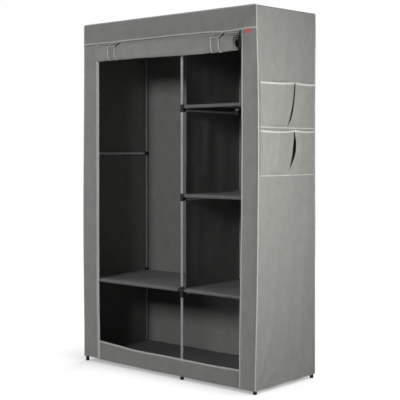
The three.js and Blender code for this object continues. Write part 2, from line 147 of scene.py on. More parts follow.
def placed(name: str, data: bpy.types.ID) -> Piece:
    """Makes an object and links it into the scene.

    Args:
        name: Its name.
        data: Its mesh, lamp or camera.

    Returns:
        The new object.
    """
    made = bpy.data.objects.new(name, data)
    bpy.context.scene.collection.objects.link(made)
    return made


def lengths_along(points: Array) -> Array:
    """The length of a line from its start to each of its points."""
    return np.concatenate([[0], np.cumsum(np.linalg.norm(np.diff(points, axis=0), axis=1))])


def mesh_piece(name: str, points: Array, faces: Sequence[Sequence[int]], finish: Finish,
               uv: Array | None = None) -> Piece:
    """Makes a closed mesh whose faces point outwards, smooth but for its sharp edges.

    Args:
        name: The piece's name.
        points: Its points, one row each.
        faces: The point numbers of each face.
        finish: Its finish.
        uv: A cloth coordinate in metres for each point.

    Returns:
        The new object.
    """
    fans = np.array([(face[0], a, b) for face in faces for a, b in zip(face[1:-1], face[2:])])
    volume = float((points[fans[:, 0]] * np.cross(points[fans[:, 1]], points[fans[:, 2]])).sum())
    ordered = [face if volume >= 0 else face[::-1] for face in faces]
    mesh = bpy.data.meshes.new(name)
    mesh.from_pydata(points.tolist(), [], ordered)
    mesh.polygons.foreach_set("use_smooth", np.ones(len(ordered), bool))
    if uv is not None:
        corners = np.empty(len(mesh.loops), np.int32)
        mesh.loops.foreach_get("vertex_index", corners)
        layer = mesh.uv_layers.new(name=CLOTH_UV)
        layer.data.foreach_set("uv", uv[corners].astype(np.float32).ravel())
    mesh.set_sharp_from_angle(angle=CREASE)
    mesh.materials.append(finish.material())
    return placed(name, mesh)


def cloth_piece(name: str, surface: Array, uv: Array, wall: float, finish: Finish,
                keep: Array | None = None) -> Piece:
    """Gives a grid of points the thickness of cloth, behind the side that its normals point to.

    Args:
        name: The piece's name.
        surface: The grid's points, rows by columns by 3.
        uv: The cloth coordinates, rows by columns by 2.
        wall: The cloth's thickness.
        finish: Its finish.
        keep: Which of the grid's cells the cloth has, where it has holes or notches.

    Returns:
        The new object.
    """
    rows, columns = surface.shape[:2]
    across, up = np.gradient(surface, axis=1), np.gradient(surface, axis=0)
    normal = np.cross(across, up)
    normal /= np.maximum(np.linalg.norm(normal, axis=2, keepdims=True), 1e-12)
    points = np.concatenate([surface.reshape(-1, 3), (surface - wall * normal).reshape(-1, 3)])
    number = np.arange(rows * columns).reshape(rows, columns)
    cells = np.stack([number[:-1, :-1], number[:-1, 1:], number[1:, 1:], number[1:, :-1]], axis=-1)
    cells = (cells if keep is None else cells[keep]).reshape(-1, 4)
    count = rows * columns
    starts, ends = cells.ravel(), np.roll(cells, -1, axis=1).ravel()
    inside = np.isin(starts * count + ends, ends * count + starts)
    a, b = starts[~inside], ends[~inside]
    rim = np.stack([b, a, a + count, b + count], axis=1)
    faces = np.concatenate([cells, cells[:, ::-1] + count, rim])
    used, renumbered = np.unique(faces, return_inverse=True)
    both = np.concatenate([uv.reshape(-1, 2)] * 2)[used]
    return mesh_piece(name, points[used], renumbered.reshape(faces.shape).tolist(), finish, both)


def swept_piece(name: str, path: Array, across: Array, outward: Array, outline: Array,
                finish: Finish) -> Piece:
    """Sweeps a closed outline along a path, with an end at either side.

    Args:
        name: The piece's name.
        path: The points of the path.
        across: The direction of the outline's first value, one for all points or one for each.
        outward: The direction of its second value.
        outline: The outline's points.
        finish: Its finish.

    Returns:
        The new object.
    """
    across, outward = np.broadcast_to(across, path.shape), np.broadcast_to(outward, path.shape)
    rings = path[:, None] + across[:, None] * outline[None, :, :1] + outward[:, None] * outline[None, :, 1:]
    stations, sides = rings.shape[:2]
    uv = np.stack(np.meshgrid(lengths_along(outline), lengths_along(path)), axis=-1).reshape(-1, 2)
    number = np.arange(stations * sides).reshape(stations, sides)
    after = np.roll(number, -1, axis=1)
    quads = np.stack([number[:-1], after[:-1], after[1:], number[1:]], axis=-1).reshape(-1, 4)
    faces = [*quads.tolist(), number[0, ::-1].tolist(), number[-1].tolist()]
    return mesh_piece(name, rings.reshape(-1, 3), faces, finish, uv)


def rounded(width: float, height: float, radius: float, steps: int = 3) -> Array:
    """Draws a rounded rectangle, centred.

    Args:
        width: Its size along the first value.
        height: Its size along the second value.
        radius: The radius of its corners.
        steps: The number of steps in each corner.

    Returns:
        The outline's points.
    """
    points = []
    for corner, (sx, sy) in enumerate(((1, 1), (-1, 1), (-1, -1), (1, -1))):
        for step in range(steps + 1):
            angle = math.pi / 2 * (corner + step / steps)
            points.append((sx * (width / 2 - radius) + radius * math.cos(angle),
                           sy * (height / 2 - radius) + radius * math.sin(angle)))
    return np.array(points)


def turned_piece(name: str, parts: Sequence[Ring], finish: Finish) -> Piece:
    """Turns closed outlines about their axes and keeps the rings as one piece.

    Args:
        name: The piece's name.
        parts: The rings.
        finish: Its finish.

    Returns:
        The new object.
    """
    points, faces, start = [], [], 0
    turn = np.linspace(0, TURN, FACETS, endpoint=False)[None, :, None]
    for origin, direction, outline in parts:
        axis = Vector(direction).normalized()
        first = axis.orthogonal().normalized()
        second = axis.cross(first)
        loop = np.array(outline)
        spoke = np.cos(turn) * np.array(first) + np.sin(turn) * np.array(second)
        ring = np.array(origin) + loop[:, None, :1] * np.array(axis) + loop[:, None, 1:] * spoke
        corners = ring.reshape(-1, 3)
        number = np.arange(len(corners)).reshape(len(loop), FACETS)
        beside, above = np.roll(number, -1, axis=1), np.roll(number, -1, axis=0)
        quads = np.stack([number, beside, np.roll(above, -1, axis=1), above], axis=-1).reshape(-1, 4)
        a, b, c = corners[quads[:, 0]], corners[quads[:, 1]], corners[quads[:, 2]]
        if float((a * np.cross(b, c)).sum()) < 0:
            quads = quads[:, ::-1]
        points.append(corners)
        faces.append(start + quads)
        start += len(corners)
    return mesh_piece(name, np.concatenate(points), np.concatenate(faces).tolist(), finish)


def sleeve_outline(start: float, end: float, inner: float, outer: float, collar: float = 0.0,
                   edge: float = 0.0007, band: float = 0.0042) -> list[Pair]:
    """Draws the wall of a moulded sleeve, with softened rims and a collar at its far end.

    Args:
        start: Where the sleeve starts along its axis.
        end: Where it ends.
        inner: The radius of its bore.
        outer: The radius of its outside.
        collar: How far its collar stands out.
        edge: The size of its softened edges.
        band: The length of its collar.

    Returns:
        The closed outline as (place along, radius).
    """
    way = 1 if end > start else -1
    top = outer + collar
    outline = [(start, inner), (start, outer - edge), (start + way * edge, outer)]
    if collar:
        neck = end - way * band
        outline += [(neck, outer), (neck + way * edge, top)]
    return outline + [(end - way * edge, top), (end - way * edge / 3, top - edge / 3),
                      (end, top - edge), (end, inner)]


def paths_object(paths: Sequence[Array]) -> Piece:
    """Makes one mesh of open polylines, for a tree of Geometry Nodes to follow.

    Args:
        paths: The points of each polyline.

    Returns:
        The new object.
    """
    points, edges, start = [], [], 0
    for path in paths:
        points.append(path)
        edges += [(start + i, start + i + 1) for i in range(len(path) - 1)]
        start += len(path)
    mesh = bpy.data.meshes.new("paths")
    mesh.from_pydata(np.concatenate(points).tolist(), edges, [])
    return placed("paths", mesh)


def baked(carrier: Piece, tree: Tree, values: Mapping[str, float], name: str) -> Piece:
    """Runs a tree on an object and keeps the result as a plain mesh.

    Args:
        carrier: The object that the tree works on, which is removed.
        tree: The tree of Geometry Nodes.
        values: The tree's inputs by name.
        name: The name of the new piece.

    Returns:
        The new object.
    """
    modifier = carrier.modifiers.new("maker", "NODES")
    modifier.node_group = tree
    for item in tree.interface.items_tree:
        if item.item_type == "SOCKET" and item.in_out == "INPUT" and item.name in values:
            modifier[item.identifier] = values[item.name]
    graph = bpy.context.evaluated_depsgraph_get()
    mesh = bpy.data.meshes.new_from_object(carrier.evaluated_get(graph), depsgraph=graph)
    mesh.name = name
    carrier.modifiers.remove(modifier)
    bpy.data.objects.remove(carrier)
    return placed(name, mesh)


def fit(piece: Piece, body: str, slot: str, *nodes: str) -> Piece:
    """Sets a finished piece on its body and hides the CAD nodes that it stands for.

    Args:
        piece: The piece.
        body: The CAD body that it rides on.
        slot: The record's material slot; not used.
        nodes: The CAD nodes that it replaces.

    Returns:
        The piece.
    """
    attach(piece, body)
    if nodes:
        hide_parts(*nodes)
    LOG.info("%s on %s, %d faces", piece.name, body, len(piece.data.polygons))
    return piece


# Finishes


@dataclass(frozen=True)
class Finish:
    """The finish of a surface: a name, a colour and the way its material is built."""

    name: str
    tone: str

    def material(self) -> bpy.types.Material:
        """Builds the material, or finds it if it is there."""
        if self.name in bpy.data.materials:
            return bpy.data.materials[self.name]
        material, tree = new_material(self.name)
        add_node(tree, "ShaderNodeOutputMaterial", {}, {"Surface": self.shader(tree)})
        return material

    def shader(self, tree: Tree) -> Socket:
        """Builds the shader in a material's tree and returns its output."""
        raise NotImplementedError


@dataclass(frozen=True)
class SpunbondPolypropylene(Finish):
    """Non-woven polypropylene, spun-bonded and dot-embossed: matt, faintly cloudy, with pressed points."""

    clouding: float = 0.08
    cloud: float = 0.045
    streak: float = 0.004
    # Bonding points lie 1.2 mm apart; drawn 2.6 mm apart, so that they still show from near
    bond_pitch: float = 0.0026

    def shader(self, tree: Tree) -> Socket:
        """Builds clouds and streaks of fibres, pressed by a lattice of bonding points."""
        place = add_node(tree, "ShaderNodeTexCoord").outputs["Object"]
        cloth = add_node(tree, "ShaderNodeUVMap", {"uv_map": CLOTH_UV}).outputs["UV"]
        # Uneven laying of the fibres: clouds of 20 to 60 mm and short streaks
        clouds = add_node(tree, "ShaderNodeTexNoise", {}, {
            "Vector": place, "Scale": 1 / self.cloud, "Detail": 4.0, "Roughness": 0.62})
        drawn = add_node(tree, "ShaderNodeVectorMath", {"operation": "MULTIPLY"}, {
            0: cloth, 1: (1.0, 0.3, 1.0)})
        streaks = add_node(tree, "ShaderNodeTexNoise", {}, {
            "Vector": drawn.outputs[0], "Scale": 1 / self.streak, "Detail": 3.0, "Roughness": 0.7})
        turned = add_node(tree, "ShaderNodeVectorRotate", {"rotation_type": "Z_AXIS"}, {
            "Vector": cloth, "Angle": math.radians(45)})
        points = add_node(tree, "ShaderNodeTexVoronoi", {"voronoi_dimensions": "2D"}, {
            "Vector": turned.outputs[0], "Scale": 1 / self.bond_pitch, "Randomness": 0.0})
        pressed = add_node(tree, "ShaderNodeMapRange", {"interpolation_type": "SMOOTHSTEP"}, {
            "Value": points.outputs["Distance"], "From Min": 0.16, "From Max": 0.36})
        mixed = add_node(tree, "ShaderNodeMath", {"operation": "MULTIPLY_ADD"}, {
            0: streaks.outputs["Fac"], 1: 0.35, 2: clouds.outputs["Fac"]})
        shade = add_node(tree, "ShaderNodeMapRange", {}, {
            "Value": mixed.outputs[0], "From Min": 0.42, "From Max": 0.95,
            "To Min": 1 - self.clouding, "To Max": 1 + self.clouding})
        dotted = add_node(tree, "ShaderNodeMapRange", {}, {
            "Value": pressed.outputs["Result"], "To Min": 0.93, "To Max": 1.0})
        level = add_node(tree, "ShaderNodeMath", {"operation": "MULTIPLY"}, {
            0: shade.outputs["Result"], 1: dotted.outputs["Result"]})
        colour = add_node(tree, "ShaderNodeVectorMath", {"operation": "SCALE"}, {
            0: linear(self.tone)[:3], "Scale": level.outputs[0]})
        height = add_node(tree, "ShaderNodeMath", {"operation": "MULTIPLY_ADD"}, {
            0: streaks.outputs["Fac"], 1: 0.6, 2: pressed.outputs["Result"]})
        bump = add_node(tree, "ShaderNodeBump", {}, {
            "Strength": 0.5, "Distance": 0.0004, "Height": height.outputs[0]})
        return add_node(tree, "ShaderNodeBsdfPrincipled", {}, {
            "Base Color": colour.outputs[0], "Normal": bump.outputs[0], "Roughness": 0.9, "IOR": 1.49,
            "Specular IOR Level": 0.15, "Sheen Weight": 0.06, "Sheen Roughness": 0.6}).outputs[0]


@dataclass(frozen=True)
class WovenPolyesterTape(Finish):
    """Woven polyester tape: a fine twill that catches light in diagonal ribs."""

    # Twill ribs lie 0.6 mm apart; drawn 1.4 mm apart, so that they still show from near
    rib_pitch: float = 0.0014
    wear: float = 0.02

    def shader(self, tree: Tree) -> Socket:
        """Builds diagonal ribs, a little worn in places."""
        cloth = add_node(tree, "ShaderNodeUVMap", {"uv_map": CLOTH_UV}).outputs["UV"]
        twill = add_node(tree, "ShaderNodeTexWave", {"wave_type": "BANDS", "bands_direction": "DIAGONAL"}, {
            "Vector": cloth, "Scale": 1 / (self.rib_pitch * TURN), "Distortion": 0.6, "Detail": 1.0})
        worn = add_node(tree, "ShaderNodeTexNoise", {}, {
            "Vector": cloth, "Scale": 1 / self.wear, "Detail": 3.0})
        mixed = add_node(tree, "ShaderNodeMath", {"operation": "MULTIPLY_ADD"}, {
            0: twill.outputs["Fac"], 1: 0.5, 2: worn.outputs["Fac"]})
        level = add_node(tree, "ShaderNodeMapRange", {}, {
            "Value": mixed.outputs[0], "From Min": 0.3, "From Max": 1.2, "To Min": 0.88, "To Max": 1.1})
        colour = add_node(tree, "ShaderNodeVectorMath", {"operation": "SCALE"}, {
            0: linear(self.tone)[:3], "Scale": level.outputs["Result"]})
        bump = add_node(tree, "ShaderNodeBump", {}, {
            "Strength": 0.5, "Distance": 0.0003, "Height": twill.outputs["Fac"]})
        return add_node(tree, "ShaderNodeBsdfPrincipled", {}, {
            "Base Color": colour.outputs[0], "Normal": bump.outputs[0], "Roughness": 0.78,
            "Specular IOR Level": 0.35, "Sheen Weight": 0.15, "Sheen Roughness": 0.5}).outputs[0]


@dataclass(frozen=True)
class GrainedSolid(Finish):
    """A painted or moulded surface with a fine grain: powder coat, moulded plastic, lacquered zinc, thread."""

    roughness: float
    grain: float
    relief: float
    metallic: float = 0.0
    patchiness: float = 0.05
    specular: float = 0.5
    patch: float = 0.05

    def shader(self, tree: Tree) -> Socket:
        """Builds a fine grain in gloss and relief, and broad patches in tone."""
        place = add_node(tree, "ShaderNodeTexCoord").outputs["Object"]
        fine = add_node(tree, "ShaderNodeTexNoise", {}, {
            "Vector": place, "Scale": 1 / self.grain, "Detail": 2.0, "Roughness": 0.55})
        broad = add_node(tree, "ShaderNodeTexNoise", {}, {
            "Vector": place, "Scale": 1 / self.patch, "Detail": 3.0})
        level = add_node(tree, "ShaderNodeMapRange", {}, {
            "Value": broad.outputs["Fac"], "From Min": 0.3, "From Max": 0.7,
            "To Min": 1 - self.patchiness, "To Max": 1 + self.patchiness})
        colour = add_node(tree, "ShaderNodeVectorMath", {"operation": "SCALE"}, {
            0: linear(self.tone)[:3], "Scale": level.outputs["Result"]})
        gloss = add_node(tree, "ShaderNodeMapRange", {}, {
            "Value": fine.outputs["Fac"], "From Min": 0.3, "From Max": 0.7,
            "To Min": self.roughness - 0.06, "To Max": self.roughness + 0.06})
        bump = add_node(tree, "ShaderNodeBump", {}, {
            "Strength": 0.6, "Distance": self.relief, "Height": fine.outputs["Fac"]})
        return add_node(tree, "ShaderNodeBsdfPrincipled", {}, {
            "Base Color": colour.outputs[0], "Normal": bump.outputs[0], "Metallic": self.metallic,
            "Roughness": gloss.outputs["Result"], "Specular IOR Level": self.specular}).outputs[0]


# Matt grey cover cloth; the same cloth a little paler on the pockets, which is painted light; and the same cloth
# darker on the shelves inside, which is painted shade of the interior
COVER_CLOTH = SpunbondPolypropylene("spunbonded_polypropylene_cover", "#868784")
LIT_POCKET_CLOTH = SpunbondPolypropylene("spunbonded_polypropylene_pocket", "#898a86")
SHADED_INNER_CLOTH = SpunbondPolypropylene("spunbonded_polypropylene_inner", "#6d6c6d", 0.14)
# The cloth of the door and of the left band is the same cloth a little brighter: painted light
LIT_DOOR_CLOTH = SpunbondPolypropylene("spunbonded_polypropylene_door", "#91928f")
LIT_BAND_CLOTH = SpunbondPolypropylene("spunbonded_polypropylene_band", "#8d8e8b")
# The floor's cloth is the cover cloth darkened, painted shade of the low interior, and cloudy
SHADED_FLOOR_CLOTH = SpunbondPolypropylene("spunbonded_polypropylene_floor", "#504f50", 0.16)
# The double hem at the foot of the sides is paler: painted highlight of its lit edge
LIT_HEM_CLOTH = SpunbondPolypropylene("spunbonded_polypropylene_hem", "#9b9c98")
# Pale tape round hems and edges: a little brighter than the cloth, dull shine on its ribs
BINDING_TAPE = WovenPolyesterTape("woven_polyester_binding", "#b4b5b1")
PIPING_CORD = WovenPolyesterTape("woven_polyester_piping", "#a9aaa6")
SHELF_BINDING = WovenPolyesterTape("woven_polyester_shelf_binding", "#989995")
TAB_TAPE = WovenPolyesterTape("woven_polyester_tab", "#b9625d")
# Thin silver-grey powder coat on steel: even metallic flake, half gloss, slight orange peel
POWDER_COAT = GrainedSolid("powder_coated_steel", "#8b8c8e", 0.5, 0.0011, 0.00004, 0.15, specular=0.35)
# Pale steel on the depth tubes, much lighter than on the other tubes: painted light, with a soft spangle
LIT_DEPTH_STEEL = GrainedSolid("zinc_plated_steel", "#dfe0e2", 0.42, 0.0013, 0.00003, 0.1, 0.1)
# Black moulded polypropylene: spark-eroded mould surface, waxy low gloss
MOULDED_BLACK = GrainedSolid("moulded_polypropylene_black", "#161617", 0.62, 0.0008, 0.00008, specular=0.2)
# Spun polyester thread: matt and a little lighter than the cloth
THREAD = GrainedSolid("spun_polyester_thread", "#b9bab5", 0.8, 0.0004, 0.00003)
# Extruded nylon filament of the zip: smooth and slightly waxy
NYLON_COIL = GrainedSolid("extruded_nylon_coil", "#a4a5a1", 0.45, 0.0006, 0.00002)
# Grey lacquer on die-cast zinc: dull metal with rubbed spots
LACQUERED_ZINC = GrainedSolid("lacquered_die_cast_zinc", "#7d7e7e", 0.55, 0.0009, 0.00003, 0.0, 0.12, 0.3)


# Trees of Geometry Nodes


class RunKind(Enum):
    """What is made along a path."""

    TUBE = "tube"
    STITCH = "stitch"
    COIL = "coil"


@dataclass(frozen=True)
class Run:
    """A tree that makes a tube, a row of stitches or a zip coil along every path it is given."""

    kind: RunKind
    finish: Finish

    def tree(self) -> Tree:
        """Builds the tree, or finds it if it is there."""
        name = f"{self.kind.value} {self.finish.name}"
        if name in bpy.data.node_groups:
            return bpy.data.node_groups[name]
        tree = bpy.data.node_groups.new(name, "GeometryNodeTree")
        face = tree.interface
        for title, kind in (("Paths", "Geometry"), ("Radius", "Float"), ("Pitch", "Float"), ("Length", "Float"),
                            ("Sides", "Int")):
            face.new_socket(name=title, in_out="INPUT", socket_type=f"NodeSocket{kind}")
        face.new_socket(name="Made", in_out="OUTPUT", socket_type="NodeSocketGeometry")
        given = add_node(tree, "NodeGroupInput").outputs
        curve = add_node(tree, "GeometryNodeMeshToCurve", {}, {0: given["Paths"]})
        if self.kind is RunKind.TUBE:
            circle = add_node(tree, "GeometryNodeCurvePrimitiveCircle", {}, {
                "Resolution": given["Sides"], "Radius": given["Radius"]})
            shape = add_node(tree, "GeometryNodeCurveToMesh", {}, {
                "Curve": curve.outputs[0], "Profile Curve": circle.outputs["Curve"], "Fill Caps": True})
        else:
            spots = add_node(tree, "GeometryNodeCurveToPoints", {"mode": "LENGTH"}, {
                "Curve": curve.outputs[0], "Length": given["Pitch"]})
            bead = add_node(tree, "GeometryNodeMeshIcoSphere", {}, {"Radius": 1.0, "Subdivisions": 1})
            half = add_node(tree, "ShaderNodeMath", {"operation": "MULTIPLY"}, {0: given["Length"], 1: 0.5})
            if self.kind is RunKind.STITCH:
                size = add_node(tree, "ShaderNodeCombineXYZ", {}, {
                    "X": given["Radius"], "Y": given["Radius"], "Z": half.outputs[0]})
                inputs = {"Rotation": spots.outputs["Rotation"]}
            else:
                size = add_node(tree, "ShaderNodeCombineXYZ", {}, {
                    "X": half.outputs[0], "Y": given["Radius"], "Z": given["Radius"]})
                inputs = {"Rotation": (0.0, math.radians(9), 0.0)}
            shape = add_node(tree, "GeometryNodeInstanceOnPoints", {}, {
                "Points": spots.outputs["Points"], "Instance": bead.outputs["Mesh"],
                "Scale": size.outputs[0], **inputs})
        real = add_node(tree, "GeometryNodeRealizeInstances", {}, {0: shape.outputs[0]})
        smooth = add_node(tree, "GeometryNodeSetShadeSmooth", {}, {0: real.outputs[0]})
        dressed = add_node(tree, "GeometryNodeSetMaterial", {}, {
            "Geometry": smooth.outputs[0], "Material": self.finish.material()})
        add_node(tree, "NodeGroupOutput", {}, {"Made": dressed.outputs[0]})
        return tree

    def along(self, name: str, paths: Sequence[Array], radius: float, pitch: float = 0.0, length: float = 0.0,
              sides: int = FACETS) -> Piece:
        """Makes the run along paths; the length is that of a stitch or the coil's width."""
        values = {"Radius": radius, "Pitch": pitch, "Length": length, "Sides": sides}
        return baked(paths_object(paths), self.tree(), values, name)


STEEL_TUBE = Run(RunKind.TUBE, POWDER_COAT)
LIT_DEPTH_TUBE = Run(RunKind.TUBE, LIT_DEPTH_STEEL)
PIPING = Run(RunKind.TUBE, PIPING_CORD)
SEAM = Run(RunKind.STITCH, THREAD)
ZIP_COIL = Run(RunKind.COIL, NYLON_COIL)


def stitches(name: str, paths: Sequence[Array]) -> Piece:
    """Sews a row of stitches along each path that lies on the cloth."""
    return SEAM.along(name, paths, radius=0.0004, pitch=0.004, length=0.0032)


# Soft forms


@dataclass(frozen=True)
class Fold:
    """A single soft fold between two points of a cloth."""

    start: Pair
    end: Pair
    width: float
    depth: float

    def at(self, s: Array, t: Array) -> Array:
        """How far the fold lifts the cloth.

        Args:
            s: The first coordinate of each point, in metres.
            t: The second coordinate.

        Returns:
            The lift of each point.
        """
        way = np.array(self.end) - np.array(self.start)
        length = float(np.hypot(*way))
        along = ((s - self.start[0]) * way[0] + (t - self.start[1]) * way[1]) / length ** 2
        off = ((s - self.start[0]) * way[1] - (t - self.start[1]) * way[0]) / length
        ends = np.clip(along, 0, 1)
        fade = np.sin(math.pi * ends) ** 0.8
        return self.depth * fade * np.exp(-(off / self.width) ** 2)


@dataclass(frozen=True)
class Drape:
    """The unevenness of a hung cloth: broad waves, longer upwards than across, and single folds."""

    seed: int
    depth: float
    reach: float = 0.16
    upward: float = 2.2
    folds: tuple[Fold, ...] = ()
    waves: int = 16
    spread: Pair = (0.35, 1.4)

    def at(self, s: Array, t: Array) -> Array:
        """How far the cloth stands out.

        Args:
            s: The coordinate across the cloth, in metres.
            t: The coordinate up the cloth.

        Returns:
            The offset of each point.
        """
        dice = np.random.default_rng(self.seed)
        total, power = np.zeros_like(s, dtype=float), 0.0
        for _ in range(self.waves):
            angle, size, phase = dice.uniform(0, TURN), dice.uniform(*self.spread), dice.uniform(0, TURN)
            across, upwards = math.cos(angle), math.sin(angle) / self.upward
            total += size * np.sin(TURN / (self.reach * size) * (across * s + upwards * t) + phase)
            power += size ** 2 / 2
        total *= self.depth / math.sqrt(power)
        for fold in self.folds:
            total += fold.at(s, t)
        return total


def smoothstep(share: Array) -> Array:
    """Goes from 0 to 1 with a soft start and end."""
    return share * share * (3 - 2 * share)


def eased(share: Array, edge: float) -> Array:
    """Is 0 at the ends of 0 to 1, and rises softly to 1 over a share of it."""
    return smoothstep(np.clip(np.minimum(share, 1 - share) / edge, 0, 1))


def smooth_between(x: Array, knots: Sequence[float], values: Sequence[float]) -> Array:
    """Runs a smooth curve through values that are given at knots.

    Args:
        x: The places to read it at.
        knots: The places of the values, upwards.
        values: The values.

    Returns:
        The curve at each place.
    """
    k, v = np.array(knots), np.array(values)
    slopes = np.gradient(v, k)
    x = np.clip(np.asarray(x, dtype=float), k[0], k[-1])
    i = np.clip(np.searchsorted(k, x, side="right") - 1, 0, len(k) - 2)
    step = k[i + 1] - k[i]
    t = (x - k[i]) / step
    return ((1 + 2 * t) * (1 - t) ** 2 * v[i] + t * (1 - t) ** 2 * step * slopes[i]
            + t * t * (3 - 2 * t) * v[i + 1] + t * t * (t - 1) * step * slopes[i + 1])


def grid(columns: int, rows: int) -> tuple[Array, Array]:
    """Makes the shares of a grid, columns across and rows upwards."""
    return np.meshgrid(np.linspace(0, 1, columns + 1), np.linspace(0, 1, rows + 1))


def middles(values: Array) -> Array:
    """The middle of each cell of a grid of values, from two of its corners."""
    return (values[1:, 1:] + values[:-1, :-1]) / 2


def stacked(*values: Array | float) -> Array:
    """Joins coordinate arrays into one array of points."""
    return np.stack(np.broadcast_arrays(*values), axis=-1)


@dataclass(frozen=True)
class BodyPlan:
    """The cover's outline, as in the CAD."""

    centre: float = -0.00701
    front: float = -0.20886
    width: float = 1.1
    depth: float = 0.45
    height: float = 1.7
    # The lower edge's level, its lift at the left and fall to the right, and the seam's height above it
    hem: float = 0.018
    hem_lift: float = 0.008
    hem_fall: float = 0.0035
    seam: float = 0.017
    back_bow: float = 0.006
    corner: float = 0.009
    wall: float = 0.0012
    gap: float = 0.0003
    roof_fall: float = 0.0030
    roof_rise: float = 0.0065
    header: float = 1.598
    header_turn: float = 0.0026
    header_sag: float = 0.0058
    sag_place: float = 0.385
    sag_width: float = 0.085
    opening: Pair = (-0.44901, 0.45299)
    # How far the cloth pulls each edge of the opening off its line, and the level where that ends
    left_pull: Pair = (0.0080, 0.38)
    right_pull: Pair = (0.0125, 1.05)
    straps: Pair = (-0.3250, 0.33799)
    strap_reach: float = 0.036
    bow_levels: tuple[float, ...] = (0.0, 0.17, 0.29, 0.42, 0.60, 0.76, 0.93, 1.10, 1.28, 1.45, 1.60, 1.70)
    front_right_bow: tuple[float, ...] = (-0.002, 0.001, 0.0045, 0.008, 0.011, 0.0125, 0.0148, 0.0152, 0.0138,
                                          0.0098, 0.0050, 0.0030)
    front_left_bow: tuple[float, ...] = (0.0, 0.0008, 0.0028, 0.0045, 0.0060, 0.0060, 0.0046, 0.0024, 0.0,
                                         -0.0014, -0.0022, -0.0012)
    rear_bow: tuple[float, ...] = (0.0, 0.0002, 0.0004, 0.0004, 0.0002, 0.0, -0.0010, -0.0015, -0.0015,
                                   -0.0010, 0.0, 0.0)
    sill_shares: tuple[float, ...] = (0.0, 0.10, 0.18, 0.27, 0.36, 0.50, 0.65, 0.80, 0.92, 1.0)
    sill_levels: tuple[float, ...] = (0.1140, 0.1088, 0.1045, 0.0992, 0.0982, 0.0990, 0.0970, 0.0960, 0.0968,
                                      0.0985)

    @property
    def shoulder(self) -> float:
        """The level where the sides turn over into the roof."""
        return self.height - self.corner

    def hem_level(self, x: Array) -> Array:
        """The level of the cover's lower edge at an X: a little higher at the left corner."""
        share = np.clip((x - self.centre) / self.width + 0.5, 0, 1)
        return self.hem + self.hem_lift * (1 - share) ** 6 - self.hem_fall * share

    @property
    def back(self) -> float:
        """The back's unbowed plane."""
        return self.front + self.depth

    def back_at(self, x: Array, z: Array) -> Array:
        """The Y of the back: it bows between its corners."""
        across = np.clip(2 * np.abs(x - self.centre) / self.width, 0, 1)
        return self.back + self.back_bow * np.sin(math.pi * z / self.height) * (1 - across ** 4)

    def side(self, z: Array, way: int, depth: Array | float = 0.0) -> Array:
        """The X of a side.

        Args:
            z: The level.
            way: 1 on the right, -1 on the left.
            depth: The share of the way from the front to the back.

        Returns:
            The X at each level.
        """
        low = np.minimum(z, self.shoulder)
        turn = np.clip((z - self.shoulder) / self.corner, 0, 1)
        inward = self.corner * (1 - np.sqrt(1 - turn ** 2))
        front = smooth_between(low, self.bow_levels, self.front_right_bow if way > 0 else self.front_left_bow)
        rear = smooth_between(low, self.bow_levels, self.rear_bow)
        return self.centre + way * (self.width / 2 + front + (rear - front) * depth - inward)

    def top(self, depth: Array | float) -> Array:
        """The level of the roof's edge at a share of the depth: it rises a little to the back."""
        return self.height - self.roof_fall + self.roof_rise * np.asarray(depth)

    def opening_edge(self, z: Array, way: int) -> Array:
        """The X of an edge of the opening at a level; the cloth pulls it off its straight line."""
        if way > 0:
            return self.opening[1] + self.right_pull[0] * smoothstep(np.clip(z / self.right_pull[1], 0, 1))
        return self.opening[0] + self.left_pull[0] * np.clip(1 - z / self.left_pull[1], 0, 1) ** 1.3

    def under_strap(self, x: Array) -> Array:
        """Is 1 where one of the door's straps lies and 0 away from it."""
        return sum(1 / (1 + ((x - strap) / self.strap_reach) ** 6) for strap in self.straps)

    def header_edge(self, x: Array) -> Array:
        """The level of the header's lower edge at an X: it sags a little at the right strap."""
        sag = self.header_sag * np.exp(-((x - self.sag_place) / self.sag_width) ** 2)
        return self.header - self.header_turn - sag

    def sill_level(self, x: Array) -> Array:
        """The level of the bottom band's upper edge at an X."""
        share = np.clip((x - self.opening[0]) / (self.opening[1] - self.opening[0]), 0, 1)
        return smooth_between(share, self.sill_shares, self.sill_levels)


PLAN = BodyPlan()


# Sub-assemblies


@dataclass(frozen=True)
class ConnectorLevel:
    """A level of connectors: its cross tubes' height, its sleeves' reach and the ways of its cross sockets."""

    name: str
    height: float
    reach: float
    ways: Mapping[str, tuple[int, ...]]
    has_drop: bool = True


